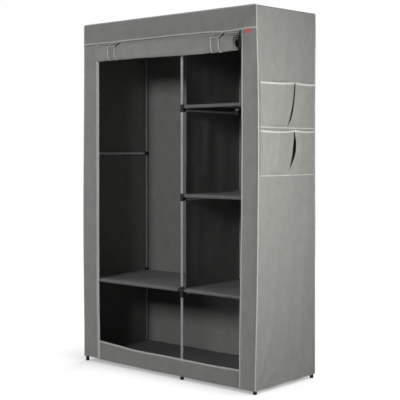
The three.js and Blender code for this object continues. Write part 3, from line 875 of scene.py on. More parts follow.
@dataclass
class TubeFrame:
    """Uprights, cross tubes and depth tubes with their connectors, feet and elbows."""

    nodes: Sequence[str] = ()
    posts_x: tuple[float, float, float] = (-0.54651, 0.10249, 0.53249)
    posts_y: Pair = (-0.19836, 0.23064)
    tube: float = 0.006
    rail: float = 0.007
    bore: float = 0.0063
    sleeve: float = 0.009
    arm: float = 0.008
    arm_start: float = 0.0045
    reach: float = 0.021
    inset: float = 0.015
    collar: float = 0.0009
    edge: float = 0.0007
    step: float = 0.0008
    drop: float = 0.015
    base: float = 0.034
    foot_bead: float = 0.014
    foot_height: float = 0.044
    foot_floor: float = 0.008
    foot_edge: float = 0.0012
    elbow_skirt: float = 0.025
    elbow_ceiling: float = 0.0025
    top: float = 1.6866
    top_rise: float = 0.0060
    rail_level: float = 1.6435
    rail_clip: float = 0.008
    rail_socket: Outline = ((-0.008, POLE), (-0.008, 0.0091), (-0.0073, 0.0098), (0.0153, 0.0098),
                            (0.016, 0.0091), (0.016, 0.0073), (-0.0055, 0.0073), (-0.0055, POLE))
    # The web between socket and clip: its width, and how far it goes into the socket, up and short of the top
    web: float = 0.015
    web_levels: tuple[float, float, float] = (0.009, 0.022, 0.0075)
    levels: tuple[ConnectorLevel, ...] = (
        ConnectorLevel("lower", 0.416, 0.018, {"left": (1,), "center": (-1, 1), "right": (-1,)}),
        ConnectorLevel("side", 1.051, 0.010, {"left": ()}, has_drop=False),
        ConnectorLevel("middle", 0.855, 0.010, {"center": (1,), "right": (-1,)}),
        ConnectorLevel("upper", 1.267, 0.010, {"center": (1,), "right": (-1,)}))

    def top_level(self, y: float) -> float:
        """The level of the top frame's tubes at a Y: they rise a little to the back."""
        return self.top + self.top_rise * (y - self.posts_y[0]) / (self.posts_y[1] - self.posts_y[0])

    def rows(self) -> tuple[tuple[str, float, int], ...]:
        """The name, the Y and the inward way of the front and the rear posts."""
        return ("front", self.posts_y[0], 1), ("rear", self.posts_y[1], -1)

    def columns(self) -> dict[str, float]:
        """The X of each column of posts, by its name."""
        return dict(zip(("left", "center", "right"), self.posts_x))

    def moulded(self, name: str, rings: Sequence[Ring], node: str) -> None:
        """Makes a moulded piece of turned rings, in place of a CAD node."""
        fit(turned_piece(f"{name}.moulded", rings, MOULDED_BLACK), "root", "connector_plastic", node)

    def steel(self) -> None:
        """Replaces each tube of the CAD by a smooth one on the same centre line."""
        names = [n for n in self.nodes if "tube" in n or n.startswith("upright") or n == "hanging_rail"]
        for node in names:
            low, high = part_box(node)
            size = high - low
            axis = max(range(3), key=lambda i: size[i])
            middle = (low + high) / 2
            ends = [middle.copy(), middle.copy()]
            ends[0][axis], ends[1][axis] = low[axis], high[axis]
            radius = self.rail if node == "hanging_rail" else self.tube
            # The depth tubes get the paler steel: painted light
            made = LIT_DEPTH_TUBE if "depth" in node else STEEL_TUBE
            line = np.array([list(end) for end in ends])
            fit(made.along(f"{node}.steel", [line], radius), "root", "frame_tube", node)

    def rings(self) -> None:
        """Makes the tube rings of the base and the top frame."""
        for name, levels, node in (("base_ring.steel", (self.base, self.base), "base_frame"),
                                   ("top_ring.steel", (self.top, self.top + self.top_rise), "top_frame")):
            paths = [np.array([[left + self.inset, y, level], [right - self.inset, y, level]])
                     for y, level in zip(self.posts_y, levels)
                     for left, right in zip(self.posts_x, self.posts_x[1:])]
            paths += [np.array([[x, self.posts_y[0] + self.inset, levels[0]],
                                [x, self.posts_y[1] - self.inset, levels[1]]]) for x in self.posts_x]
            fit(STEEL_TUBE.along(name, paths, self.tube), "root", "frame_tube", node)

    def arms(self, x: float, y: float, z: float, cross: Sequence[int], inward: int,
             drop: float = 0.0) -> list[Ring]:
        """Draws the sockets of a connector.

        Args:
            x: The post's X.
            y: The post's Y.
            z: The level of the cross tubes.
            cross: The ways of its cross sockets along X.
            inward: The way of its depth socket along Y.
            drop: How far the depth socket lies below the level.

        Returns:
            The sockets' rings.
        """
        outline = sleeve_outline(self.arm_start, self.reach, self.bore, self.arm, self.collar)
        sockets: list[Ring] = [((x, y, z), (way, 0, 0), outline) for way in cross]
        return [*sockets, ((x, y, z - drop), (0, inward, 0), outline)]

    def connectors(self) -> None:
        """Makes the moulded connectors on the uprights."""
        columns = self.columns()
        for level in self.levels:
            z, drop = level.height, self.drop if level.has_drop else 0.0
            middle = (z * 2 - drop) / 2
            for column, cross in level.ways.items():
                x = columns[column]
                for row, y, inward in self.rows():
                    rings = self.arms(x, y, z, cross, inward, drop)
                    for end in (z + level.reach, z - drop - level.reach):
                        rings.append(((x, y, middle), (0, 0, 1), sleeve_outline(
                            0, end - middle, self.bore, self.sleeve - self.edge, self.edge)))
                    node = f"{level.name}_connector_{row}_{column}"
                    self.moulded(node, rings, node)

    def feet_and_elbows(self) -> None:
        """Makes the feet of the base frame and the elbows of the top frame."""
        thin = self.sleeve - self.step
        foot = [(0.0, POLE), (0.0, self.sleeve - self.foot_edge), (self.foot_edge, self.sleeve),
                (self.foot_bead, self.sleeve), (self.foot_bead + self.foot_edge, thin),
                (self.foot_height - 0.001, thin), (self.foot_height, thin - self.step),
                (self.foot_height, self.bore), (self.foot_floor, self.bore), (self.foot_floor, POLE)]
        ways = self.levels[0].ways
        for column, x in self.columns().items():
            for row, y, inward in self.rows():
                self.moulded(f"foot_{row}_{column}", [*self.arms(x, y, self.base, ways[column], inward),
                                                      ((x, y, 0), (0, 0, 1), foot)], "base_frame")
                top = self.top_level(y)
                skirt, ceiling = top - self.elbow_skirt, top - self.elbow_ceiling
                dome = [(top + self.sleeve * math.sin(a), max(self.sleeve * math.cos(a), POLE))
                        for a in np.linspace(0, math.pi / 2, 7)]
                elbow = [(skirt, self.bore), (skirt, thin), (skirt + self.step, self.sleeve),
                         *dome, (ceiling, POLE), (ceiling, self.bore)]
                self.moulded(f"elbow_{row}_{column}", [*self.arms(x, y, top, ways[column], inward),
                                                       ((x, y, 0), (0, 0, 1), elbow)], "top_frame")

    def rail_brackets(self) -> None:
        """Makes the two moulded sockets that carry the hanging rail."""
        y, z = sum(self.posts_y) / 2, self.rail_level
        top = self.top_level(y)
        clip = sleeve_outline(-self.rail_clip, self.rail_clip, self.bore, self.arm + 0.0005)
        below, above, short = self.web_levels
        for side, x, way in (("left", self.posts_x[0], 1), ("right", self.posts_x[1], -1)):
            self.moulded(f"rail_bracket_{side}", [((x, y, z), (way, 0, 0), self.rail_socket),
                                                  ((x, y, top), (0, 1, 0), clip)], "top_frame")
            line = stacked(x, y, np.array([z + below, z + above, top - short]))
            web = swept_piece(f"rail_bracket_web_{side}.moulded", line, RIGHT, -FORWARD,
                              rounded(self.web, self.web, self.web / 5), MOULDED_BLACK)
            fit(web, "root", "connector_plastic", "top_frame")

    def build(self) -> None:
        """Builds the whole frame."""
        self.steel()
        self.rings()
        self.connectors()
        self.feet_and_elbows()
        self.rail_brackets()


@dataclass
class Interior:
    """Cloth shelves on their tubes, the wall between the columns and the floor cloth."""

    frame: TubeFrame
    wall: float = 0.00096
    hem: float = 0.0075
    hem_wall: float = 0.0006
    sag: float = 0.0035
    # Beside the connectors a shelf is narrower: how far from a tube's middle that ends, and over what length
    cut_back: Pair = (0.0095, 0.02)
    clear: float = 0.0006
    seam: float = 0.0105
    floor_sag: float = 0.004
    notch: float = 0.016
    # The divider's rear edge and top, and how far its foot and its face lie inside the solid
    divider_rear: float = 0.2365
    divider_top: float = 1.6885
    divider_lift: float = 0.008
    divider_inset: float = 0.0012
    # Notches down the divider's front edge, as the middle's level and half the height, and the one at the rail
    edge_notches: tuple[Pair, ...] = ((0.4085, 0.0255), (0.8475, 0.0175), (1.2595, 0.0175))
    top_notch: Pair = (0.002, 0.0265)
    rail_notch: Pair = (0.01614, 1.625)

    def round_tube(self, y: float, level: float, first: float, last: float) -> Array:
        """The points (Y, level) of cloth round a tube, from a first angle in degrees to a last one."""
        turn = np.radians(np.linspace(first, last, 26))
        return stacked(y + self.hem * np.cos(turn), level + self.hem * np.sin(turn))

    def shelf(self, node: str, seed: int) -> None:
        """Hangs one shelf: sleeves round the front and rear tubes, and cloth that sags between.

        Args:
            node: The CAD node that it replaces.
            seed: The seed of its unevenness.
        """
        low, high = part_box(node)
        middle = (low.z + high.z) / 2
        front, rear = self.frame.posts_y
        side = "left" if node == "shelf_lower_left" else "right"
        first_post, last_post = self.frame.posts_x[:2] if side == "left" else self.frame.posts_x[1:]
        notch = self.frame.reach + self.clear
        span = np.linspace(front, rear, 44)[1:-1]
        flat = stacked(span, middle + self.hem)
        section = np.concatenate([self.round_tube(front, middle, 395, 90), flat,
                                  self.round_tube(rear, middle, 90, -215)])
        u = np.linspace(0, 1, 41)
        y, z = section[:, :1], section[:, 1:]
        share = np.clip((y - front) / (rear - front), 0, 1)
        free = np.clip((np.minimum(y - front, rear - y) - self.cut_back[0]) / self.cut_back[1], 0, 1)
        left = (first_post + notch) * (1 - free) + low.x * free
        right = (last_post - notch) * (1 - free) + high.x * free
        x = left + (right - left) * u
        on_top = ((share > 0) & (share < 1) & (z > middle)) * np.sin(math.pi * share) ** 0.8
        uneven = Drape(seed, 0.0009, 0.12, 1.0).at(x, y)
        lift = (uneven - self.sag * (0.55 + 0.45 * np.sin(math.pi * u))) * on_top
        surface = stacked(x, y, z + lift)
        run = lengths_along(section)
        uv = stacked(x, run[:, None])
        # The shelf cloth is the cover cloth darkened: painted shade of the interior
        piece = cloth_piece(f"{node}.cloth", surface[::-1], uv[::-1], self.wall, SHADED_INNER_CLOTH)
        fit(piece, "root", "inner_fabric", node)
        seam_x = low.x + (high.x - low.x) * u
        seams = [stacked(seam_x, edge, middle + self.hem + 0.0002)
                 for edge in (front + self.seam, rear - self.seam)]
        rows = fit(stitches(f"{node}.stitches", seams), "root", "inner_fabric")
        bend = np.radians(np.linspace(112, 205, 10))[:, None]
        strip_x = first_post + notch + (last_post - first_post - 2 * notch) * u + 0 * bend
        radius = self.hem + 0.0007 + 0.0002 * np.sin(strip_x * 41)
        strip = stacked(strip_x, front + radius * np.cos(bend), middle + radius * np.sin(bend))
        band = cloth_piece(f"{node}_front_hem.tape", strip[::-1], stacked(strip_x, self.hem * bend)[::-1],
                           self.hem_wall, SHELF_BINDING)
        fit(band, "root", "inner_fabric")

    def floor(self) -> None:
        """Lays the floor cloth on the base frame, notched round the uprights."""
        low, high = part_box("floor_panel")
        u, v = grid(96, 40)
        x, y = low.x + (high.x - low.x) * u, low.y + (high.y - low.y) * v
        cell_x, cell_y = middles(x), middles(y)
        slack, keep = np.ones_like(x), np.ones_like(cell_x, dtype=bool)
        for post_x in self.frame.posts_x:
            slack *= np.clip(np.abs(x - post_x) / 0.10, 0, 1)
            for post_y in self.frame.posts_y:
                keep &= (np.abs(cell_x - post_x) >= self.notch) | (np.abs(cell_y - post_y) >= self.notch)
        lift = (Drape(31, 0.0008, 0.14, 1.0).at(x, y) - self.floor_sag * np.sin(math.pi * v)) * slack
        surface = stacked(x, y, high.z + np.minimum(lift, 0.0006))
        # The floor cloth's dark tone is painted shade
        piece = cloth_piece("floor_panel.cloth", surface, stacked(x, y), self.wall, SHADED_FLOOR_CLOTH, keep)
        fit(piece, "root", "inner_fabric", "floor_panel")

    def divider(self) -> None:
        """Hangs the wall between the columns, with a seam down its front and its rear edge."""
        low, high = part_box("column_divider")
        front, rear = low.y, self.divider_rear
        bottom, top = low.z + self.divider_lift, self.divider_top
        u, v = grid(44, 130)
        y, z = front + (rear - front) * u, bottom + (top - bottom) * v
        drape = Drape(17, 0.0013, 0.15, 2.4)
        x = low.x + self.divider_inset + np.clip(drape.at(y, z) * eased(v, 0.06), -0.0012, 0.004)
        cell_y, cell_z = middles(y), middles(z)
        notched = (np.abs(cell_y - self.rail_notch[0]) < self.notch) & (cell_z > self.rail_notch[1])
        top_level = self.frame.top + self.frame.top_rise - self.top_notch[0]
        for level, half in (*self.edge_notches, (top_level, self.top_notch[1])):
            notched |= (cell_y > high.y) & (np.abs(cell_z - level) < half)
        surface = stacked(x, y, z)
        piece = cloth_piece("column_divider.cloth", surface, stacked(y, z), self.wall, COVER_CLOTH, ~notched)
        fit(piece, "root", "inner_fabric", "column_divider")
        seams = [surface[:, column] + 0.0002 * RIGHT for column in (2, 42)]
        rows = fit(stitches("column_divider.stitches", seams), "root", "inner_fabric")

    def build(self) -> None:
        """Builds the interior."""
        for number, node in enumerate(("shelf_lower_left", "shelf_lower_right", "shelf_middle", "shelf_upper")):
            self.shelf(node, 40 + number)
        self.floor()
        self.divider()


@dataclass
class Cover:
    """The sewn cover: header, bands, sides, back and roof, with piping, tapes and hems."""

    frame: TubeFrame
    plan: BodyPlan = PLAN
    wall: float = 0.0011
    piping: float = 0.0028
    right_drape: Drape = Drape(3, 0.0022, 0.17, 2.6, (
        Fold((0.03, 1.62), (0.20, 1.30), 0.016, 0.0030), Fold((0.40, 1.66), (0.30, 1.45), 0.014, 0.0026),
        Fold((0.0, -0.04), (0.13, 0.34), 0.013, 0.0085), Fold((0.01, 0.02), (0.24, 0.13), 0.014, 0.0036),
        Fold((0.05, 0.16), (0.07, 0.80), 0.012, 0.0030), Fold((0.36, 0.10), (0.30, 0.62), 0.020, 0.0018)))
    left_drape: Drape = Drape(4, 0.0012, 0.20, 2.2, (
        Fold((0.05, 1.60), (0.22, 1.20), 0.018, 0.0020), Fold((0.38, 0.08), (0.26, 0.50), 0.018, 0.0022)))
    back_drape: Drape = Drape(5, 0.0012, 0.24, 2.0, (
        Fold((-0.45, 1.62), (-0.20, 1.25), 0.03, 0.002), Fold((0.42, 1.60), (0.25, 1.18), 0.03, 0.002),
        Fold((-0.30, 0.10), (-0.12, 0.55), 0.03, 0.002), Fold((0.36, 0.08), (0.20, 0.44), 0.03, 0.002)))
    header_drape: Drape = Drape(8, 0.0010, 0.22, 0.8, (
        Fold((-0.50, 1.60), (-0.42, 1.69), 0.012, 0.0018), Fold((0.36, 1.69), (0.42, 1.60), 0.012, 0.0018)))
    roof_drape: Drape = Drape(6, 0.0010, 0.2, 1.0)
    sill_drape: Drape = Drape(14, 0.0008, 0.18, 0.8)
    # The roof sags by the first between the tubes, which hold it level over the second
    roof_sag: Pair = (0.0035, 0.07)
    # The header's lower edge stands off over the door's zip, less by the second at the straps
    stand_off: Pair = (0.0082, 0.0046)
    # The bands lie flat over the first beside the opening, and free themselves over the second
    zip_flat: Pair = (0.024, 0.02)
    sill_overlap: float = 0.006
    tab_place: Pair = (0.4775, 1.5762)
    tab_size: Pair = (0.040, 0.019)
    # Flat sizes, as far as they don't follow from the form
    side_height: float = 1.68
    back_size: Pair = (1.115, 1.682)
    header_size: Pair = (1.10, 0.106)
    band_height: float = 1.585
    sill_size: Pair = (0.914, 0.09)
    sill_area: float = 0.0745

    def sewn(self, piece: Piece, *nodes: str) -> Piece:
        """Makes a piece part of the cover, in place of the CAD nodes that are named."""
        return fit(piece, "root", "cover_fabric", *nodes)

    def side_surface(self, way: int, y: Array, z: Array) -> Array:
        """The X of a side panel with its unevenness.

        Args:
            way: 1 on the right, -1 on the left.
            y: The Y of each point.
            z: The level of each point.

        Returns:
            The X of each point.
        """
        drape = self.right_drape if way > 0 else self.left_drape
        depth = np.clip((y - self.plan.front) / self.plan.depth, 0, 1)
        up = np.clip((self.plan.shoulder - z) / 0.05, 0, 1)
        wave = np.maximum(drape.at(y - self.plan.front, z), -0.0006) * eased(depth, 0.06) * up
        return self.plan.side(z, way, depth) + way * wave

    def side(self, way: int) -> None:
        """Makes one side panel; way is 1 on the right and -1 on the left."""
        plan, name = self.plan, "right" if way > 0 else "left"
        u, v = grid(40, 150)
        u = u if way > 0 else u[:, ::-1]
        corner = float(plan.hem_level(np.array(plan.centre + way * plan.width / 2)))
        low = corner + (plan.hem - corner) * u
        z = low + (plan.shoulder - plan.gap - low) * v
        front, rear = plan.front + plan.wall + plan.gap, plan.back - plan.wall - plan.gap
        y = front + (rear - front) * u
        hem_wave = 0.0012 * np.sin(y * 31 + way) * np.clip(1 - v * 12, 0, 1)
        surface = stacked(self.side_surface(way, y, z), y, z + hem_wave)
        node = f"cover_side_{name}"
        piece = cloth_piece(f"{node}.cloth", surface, stacked(y, z), self.wall, COVER_CLOTH)
        self.sewn(piece, node)
        line = np.linspace(front + 0.004, plan.back - 0.006, 60)
        level = np.full_like(line, plan.hem + plan.seam)
        seam = stacked(self.side_surface(way, line, level) + way * 0.0002, line, level)
        rows = self.sewn(stitches(f"{node}.stitches", [seam]))
        # The hem strip along the foot is paler: painted highlight
        edge = self.sewn(swept_piece(f"{node}_hem.tape", surface[0] + (-way * 0.0004, 0.0, 0.0016), UP,
                                     way * RIGHT, rounded(0.0048, 0.0026, 0.0011), LIT_HEM_CLOTH))

    def back(self) -> None:
        """Makes the back panel."""
        plan = self.plan
        u, v = grid(96, 140)
        z = plan.hem + (plan.height - 0.0006 - plan.hem) * v
        left, right = plan.side(z, -1, 1.0), plan.side(z, 1, 1.0)
        x = right + (left - right) * u
        out = np.clip(self.back_drape.at(x, z), -0.0004, 0.006) * eased(u, 0.04) * eased(v, 0.02)
        surface = stacked(x, plan.back_at(x, z) + out, z + 0.0035 * v ** 8)
        piece = cloth_piece("cover_back.cloth", surface, stacked(x, z), self.wall, COVER_CLOTH)
        self.sewn(piece, "cover_back")
        seam = stacked(np.linspace(-0.535, 0.52, 100), plan.back + 0.0012, plan.hem + plan.seam)
        rows = self.sewn(stitches("cover_back.stitches", [seam]))

    def roof(self) -> None:
        """Makes the roof, turned down over the sides and slack between the tubes."""
        plan, (sag, hold) = self.plan, self.roof_sag
        edge, radius = plan.width / 2, plan.corner
        angles = np.radians(np.linspace(0, 90, 7))
        arc = stacked(edge - radius + radius * np.cos(angles), plan.shoulder + radius * np.sin(angles))
        inner = np.linspace(edge - radius, radius - edge, 100)[1:-1]
        path = np.concatenate([arc * (-1, 1), stacked(-inner, plan.height), arc[::-1]])
        across, level = path[:, 0], path[:, 1]
        v = np.linspace(0, 1, 41)[:, None]
        y = plan.front + plan.wall + plan.gap + (plan.depth - 2 * (plan.wall + plan.gap)) * v
        shoulder = np.array(plan.shoulder)
        right, left = plan.side(shoulder, 1, v), plan.side(shoulder, -1, v)
        x = (left + right) / 2 + across / edge * (right - left) / 2
        slack = eased(v, 0.16)
        for post in self.frame.posts_x:
            slack = slack * np.clip(np.abs(x - post) / hold, 0, 1)
        out = (self.roof_drape.at(x, y) - sag) * slack
        lift = (plan.top(v) - plan.height) * np.clip((level - shoulder) / radius, 0, 1)
        surface = stacked(x, y, level + out + lift)
        run = lengths_along(path)
        piece = cloth_piece("cover_top.cloth", surface, stacked(run, y), self.wall, COVER_CLOTH)
        self.sewn(piece, "cover_top")

    def header_face(self, x: Array, z: Array) -> Array:
        """The header's Y: its lower edge stands off over the door's zip, less at the straps and corners."""
        off, held = self.stand_off
        drop = np.clip((1.668 - z) / 0.07, 0, 1)
        free = 0.3 + 0.7 * np.clip((0.552 - np.abs(x)) / 0.05, 0, 1)
        return self.plan.front - (off - held * self.plan.under_strap(x)) * free * smoothstep(drop)

    def header(self) -> None:
        """Makes the header with the pale hem along its lower edge."""
        plan = self.plan
        u, v = grid(110, 16)
        level = plan.header + (plan.height - plan.header) * v
        left, right = plan.side(level, -1), plan.side(level, 1)
        x = left + (right - left) * u
        low, high = plan.header_edge(x), plan.top(0.0)
        z = low + (high - low) * v
        free = np.clip((1 - v) * 3, 0, 1) * eased(u, 0.03) * (1 - plan.under_strap(x))
        out = self.header_drape.at(x, z) * free
        surface = stacked(x, self.header_face(x, z) - out, z)
        piece = cloth_piece("header.cloth", surface, stacked(x, z), self.wall, COVER_CLOTH)
        self.sewn(piece, "front_panel")
        line = stacked(x[0], surface[0, :, 1] + 0.0004, z[0] + 0.0018 + 0.0006 * np.sin(x[0] * 23))
        hem = self.sewn(swept_piece("header_hem.tape", line, UP, FORWARD,
                                    rounded(0.0066, 0.0046, 0.0014), BINDING_TAPE))
        seam = stacked(x[0], self.header_face(x[0], z[0] + 0.008) - 0.0003 - out[1], z[0] + 0.009)
        rows = self.sewn(stitches("header.stitches", [seam]))

    def band(self, way: int) -> None:
        """Makes one band beside the opening; way is 1 on the right and -1 on the left."""
        plan, name = self.plan, "right" if way > 0 else "left"
        u, v = grid(14, 150)
        low_edge = plan.hem_level(plan.opening[1] + 0.1 * u if way > 0 else plan.opening[0] - 0.1 * (1 - u))
        z = low_edge + (plan.header + 0.005 - low_edge) * v
        inner, outer = plan.opening_edge(z, way), plan.side(z, way)
        low, high = (inner, outer) if way > 0 else (outer, inner)
        x = low + (high - low) * u
        drape = Drape(10 + way, 0.0009, 0.14, 3.0)
        flat, run = self.zip_flat
        # Flat along the zip, which keeps it straight
        free = np.clip((np.abs(x - inner) - flat) / run, 0, 1)
        out = 0.0003 + np.clip(drape.at(x, z), -0.0003, 0.003) * eased(u, 0.2) * eased(v, 0.03) * free
        surface = stacked(x, plan.front - out, z)
        # Both bands get a brightened copy of the cover cloth: painted light
        cloth = LIT_DOOR_CLOTH if way > 0 else LIT_BAND_CLOTH
        piece = cloth_piece(f"band_{name}.cloth", surface, stacked(x, z), self.wall, cloth)
        self.sewn(piece, "front_panel")
        line = np.linspace(float(low[2, 0]) + 0.004, float(high[2, 0]) - 0.004, 24)
        seam = stacked(line, plan.front - 0.0012, plan.hem + plan.seam)
        rows = self.sewn(stitches(f"band_{name}.stitches", [seam]))

    def bottom_band(self) -> None:
        """Makes the bottom band, set back behind the side bands, with its bound upper edge."""
        plan, over = self.plan, self.sill_overlap
        left, right = plan.opening
        u, v = grid(90, 12)
        x = left - over + (right - left + 2 * over) * u
        low, top = plan.hem_level(x), plan.sill_level(x)
        z = low + (top - low) * v
        out = np.clip(self.sill_drape.at(x, z), -0.0002, 0.002) * eased(u, 0.05)
        hem_wave = 0.0006 * np.sin(x * 19) * (1 - v)
        surface = stacked(x, plan.front + 0.0002 - out, z + hem_wave)
        piece = cloth_piece("bottom_band.cloth", surface, stacked(x, z), self.wall, COVER_CLOTH)
        self.sewn(piece, "front_panel")
        line = stacked(x[-1], surface[-1, :, 1] + 0.0005, z[-1] - 0.0035)
        edge = self.sewn(swept_piece("bottom_band_edge.tape", line, UP, FORWARD,
                                     rounded(0.009, 0.0028, 0.0012), BINDING_TAPE))
        seam = stacked(x[0], surface[2, :, 1] - 0.0003, plan.hem + plan.seam)
        rows = self.sewn(stitches("bottom_band.stitches", [seam]))

    def edge_piping(self) -> None:
        """Makes the corded piping round the front and the back of the cover."""
        plan, radius = self.plan, self.plan.corner
        levels = np.linspace(plan.hem + 0.001, plan.shoulder, 60)
        angles = np.radians(np.linspace(0, 90, 7))[1:]
        for name, y, depth in (("front", plan.front + 0.0008, 0.0), ("back", plan.back - 0.0012, 1.0)):
            top = float(plan.top(depth)) - 0.0012
            runs = []
            for way in (1, -1):
                edge = plan.side(levels, way, depth)
                turn_x = float(edge[-1]) - way * radius
                arc = stacked(turn_x + way * radius * np.cos(angles),
                              plan.shoulder + (top - plan.shoulder) * np.sin(angles))
                over = stacked(np.linspace(turn_x, plan.centre, 30)[1:], top)
                runs.append(np.concatenate([stacked(edge, levels), arc, over]))
            flat = np.concatenate([runs[0], runs[1][-2::-1]])
            path = stacked(flat[:, 0], y, flat[:, 1])
            cord = PIPING.along(f"piping_{name}.cord", [path], self.piping, sides=10)
            if CLOTH_UV not in cord.data.uv_layers:
                layer = cord.data.uv_layers.new(name=CLOTH_UV)
                points = np.array([cord.data.vertices[loop.vertex_index].co for loop in cord.data.loops])
                flat_uv = points[:, [0, 2]] + points[:, 1:2]
                layer.data.foreach_set("uv", flat_uv.astype(np.float32).ravel())
            self.sewn(cord)

    def tab(self) -> None:
        """Sews a plain folded tab under the header at the right."""
        u, v = grid(14, 6)
        x, z = (start + size * share for start, size, share in zip(self.tab_place, self.tab_size, (u, v)))
        surface = stacked(x, self.plan.front - 0.0024 - 0.0014 * np.sin(math.pi * u) * (1 - v), z)
        self.sewn(cloth_piece("sewn_tab.tape", surface, stacked(x, z), 0.0009, TAB_TAPE))

    def build(self) -> None:
        """Builds the cover."""
        self.side(1)
        self.side(-1)
        self.back()
        self.roof()
        self.header()
        self.band(1)
        self.band(-1)
        self.bottom_band()
        self.edge_piping()
        self.tab()


@dataclass(frozen=True)
class PocketForm:
    """The form of one side pocket, in distances from the cover's front."""

    name: str
    is_rear: bool
    is_lower: bool
    ridge: Pair
    sharpness: float
    crease: Fold


@dataclass
class SidePockets:
    """Two rows of two pockets on the right side, each with a pale bound rim."""

    cover: Cover
    margin: float = 0.012
    puff: float = 0.0135
    wall: float = 0.0011
    forms: tuple[PocketForm, ...] = (
        PocketForm("pocket_upper_front", False, False, (0.150, 0.185), 0.1,
                   Fold((-0.180, 1.195), (-0.010, 1.178), 0.008, 0.0045)),
        PocketForm("pocket_upper_rear", True, False, (0.236, 0.434), 0.9,
                   Fold((0.020, 1.170), (0.235, 1.395), 0.007, 0.0085)),
        PocketForm("pocket_lower_front", False, True, (0.118, 0.150), 0.7,
                   Fold((-0.105, 0.925), (-0.060, 1.200), 0.010, 0.0050)),
        PocketForm("pocket_lower_rear", True, True, (0.265, 0.300), 0.4,
                   Fold((0.070, 0.985), (0.120, 1.150), 0.014, 0.0030)))

    def levels(self, form: PocketForm) -> Pair:
        """The levels of a pocket's foot and rim."""
        return (0.9530, 1.1490) if form.is_lower else (1.1655, 1.3600)

    def parting(self, form: PocketForm, v: Array) -> Array:
        """The Y of the parting of a row's two pockets, from the foot at 0 to the rim at 1."""
        foot, rim, bend = (0.225, 0.266, 0.005) if form.is_lower else (0.216, 0.274, 0.012)
        return self.cover.plan.front + foot + (rim - foot) * v + bend * np.sin(math.pi * v)

    def slit(self, form: PocketForm, v: Array) -> Array:
        """How far the rear pocket's front edge stands off, so that the slit gapes."""
        if form.is_lower:
            return 0.0215 * np.sin(math.pi * np.clip((v - 0.10) / 0.97, 0, 1)) ** 1.1 + 0.0008
        return 0.0122 * np.clip(v / 0.22, 0, 1) ** 0.8 * (1 - 0.35 * v ** 2) + 0.0008

    def swelling(self, form: PocketForm, y: Array, v: Array, first: Array, last: Array) -> Array:
        """How far a pocket stands off the side.

        Args:
            form: The pocket.
            y: The Y of each point.
            v: The share of the pocket's height.
            first: The Y of its front edge.
            last: The Y of its rear edge.

        Returns:
            The distance of each point from the side.
        """
        foot, rim = form.ridge
        ridge = np.clip(self.cover.plan.front + foot + (rim - foot) * v, first + 0.014, last - 0.014)
        peak = self.puff * (0.55 + 0.45 * v) * np.sin(math.pi / 2 * np.clip(v / 0.13, 0, 1)) ** 0.7 + 0.0006
        ends = (self.slit(form, v), 0.0006) if form.is_rear else (0.0006, 0.0012)
        tops = np.maximum(peak, ends[0])

        def rise(t: Array) -> Array:
            """Goes from 0 to 1, round or, for a sharp crease, straight."""
            return (1 - form.sharpness) * np.sin(math.pi / 2 * t) ** 0.8 + form.sharpness * t

        before = ends[0] + (tops - ends[0]) * rise(np.clip((y - first) / (ridge - first), 0, 1))
        after = ends[1] + (tops - ends[1]) * rise(np.clip((last - y) / (last - ridge), 0, 1))
        return np.where(y < ridge, before, after)

    def pocket(self, form: PocketForm) -> None:
        """Makes one pocket with its rim, foot seam and stitches."""
        plan = self.cover.plan
        foot, rim = self.levels(form)
        u, v = grid(56, 44)
        parting = self.parting(form, v)
        first = parting if form.is_rear else plan.front + self.margin + 0 * v
        last = plan.front + plan.depth - self.margin + 0 * v if form.is_rear else parting + 0.005
        y = first + (last - first) * u
        depth = (y - plan.front) / plan.depth
        lift = (0.003 if form.is_lower else 0.0085) * np.sin(math.pi / 2 * np.clip(depth / 0.65, 0, 1))
        z = foot + (rim + lift - foot) * v - (0.0035 if form.is_rear else 0.0055) * np.sin(math.pi * u) * v ** 3
        drape = Drape(60 + 2 * form.is_lower + form.is_rear, 0.0006, 0.07, 1.6)
        x = (self.cover.side_surface(1, y, z) + plan.gap + self.wall + self.swelling(form, y, v, first, last)
             + drape.at(y, z) * eased(u, 0.15) * eased(v, 0.15) + form.crease.at(y, z) * eased(u, 0.08))
        surface = stacked(x, y, z)
        # The pocket cloth is a little paler than the side: painted light
        piece = cloth_piece(f"{form.name}.cloth", surface, stacked(y, z), self.wall, LIT_POCKET_CLOTH)
        fit(piece, "root", "pocket_fabric", "pocket_row_lower" if form.is_lower else "pocket_row_upper")
        height = 0.0086 if form.is_lower else 0.0098
        rim_tape = swept_piece(f"{form.name}_rim.tape", surface[-1] + 0.0002 * RIGHT, UP, RIGHT,
                               rounded(height, 0.0032, 0.0013), BINDING_TAPE)
        foot_tape = swept_piece(f"{form.name}_foot.tape", surface[0] + 0.0004 * UP, UP, RIGHT,
                                rounded(0.0045, 0.0024, 0.0010), BINDING_TAPE)
        seams = [surface[-1] + 0.0019 * RIGHT, surface[:-1, -2 if form.is_rear else 1] + 0.0003 * RIGHT]
        rows = stitches(f"{form.name}.stitches", seams)
        for trim in (rim_tape, foot_tape, rows):
            fit(trim, "root", "pocket_fabric")

    def build(self) -> None:
        """Builds the four pockets."""
        for form in self.forms:
            self.pocket(form)


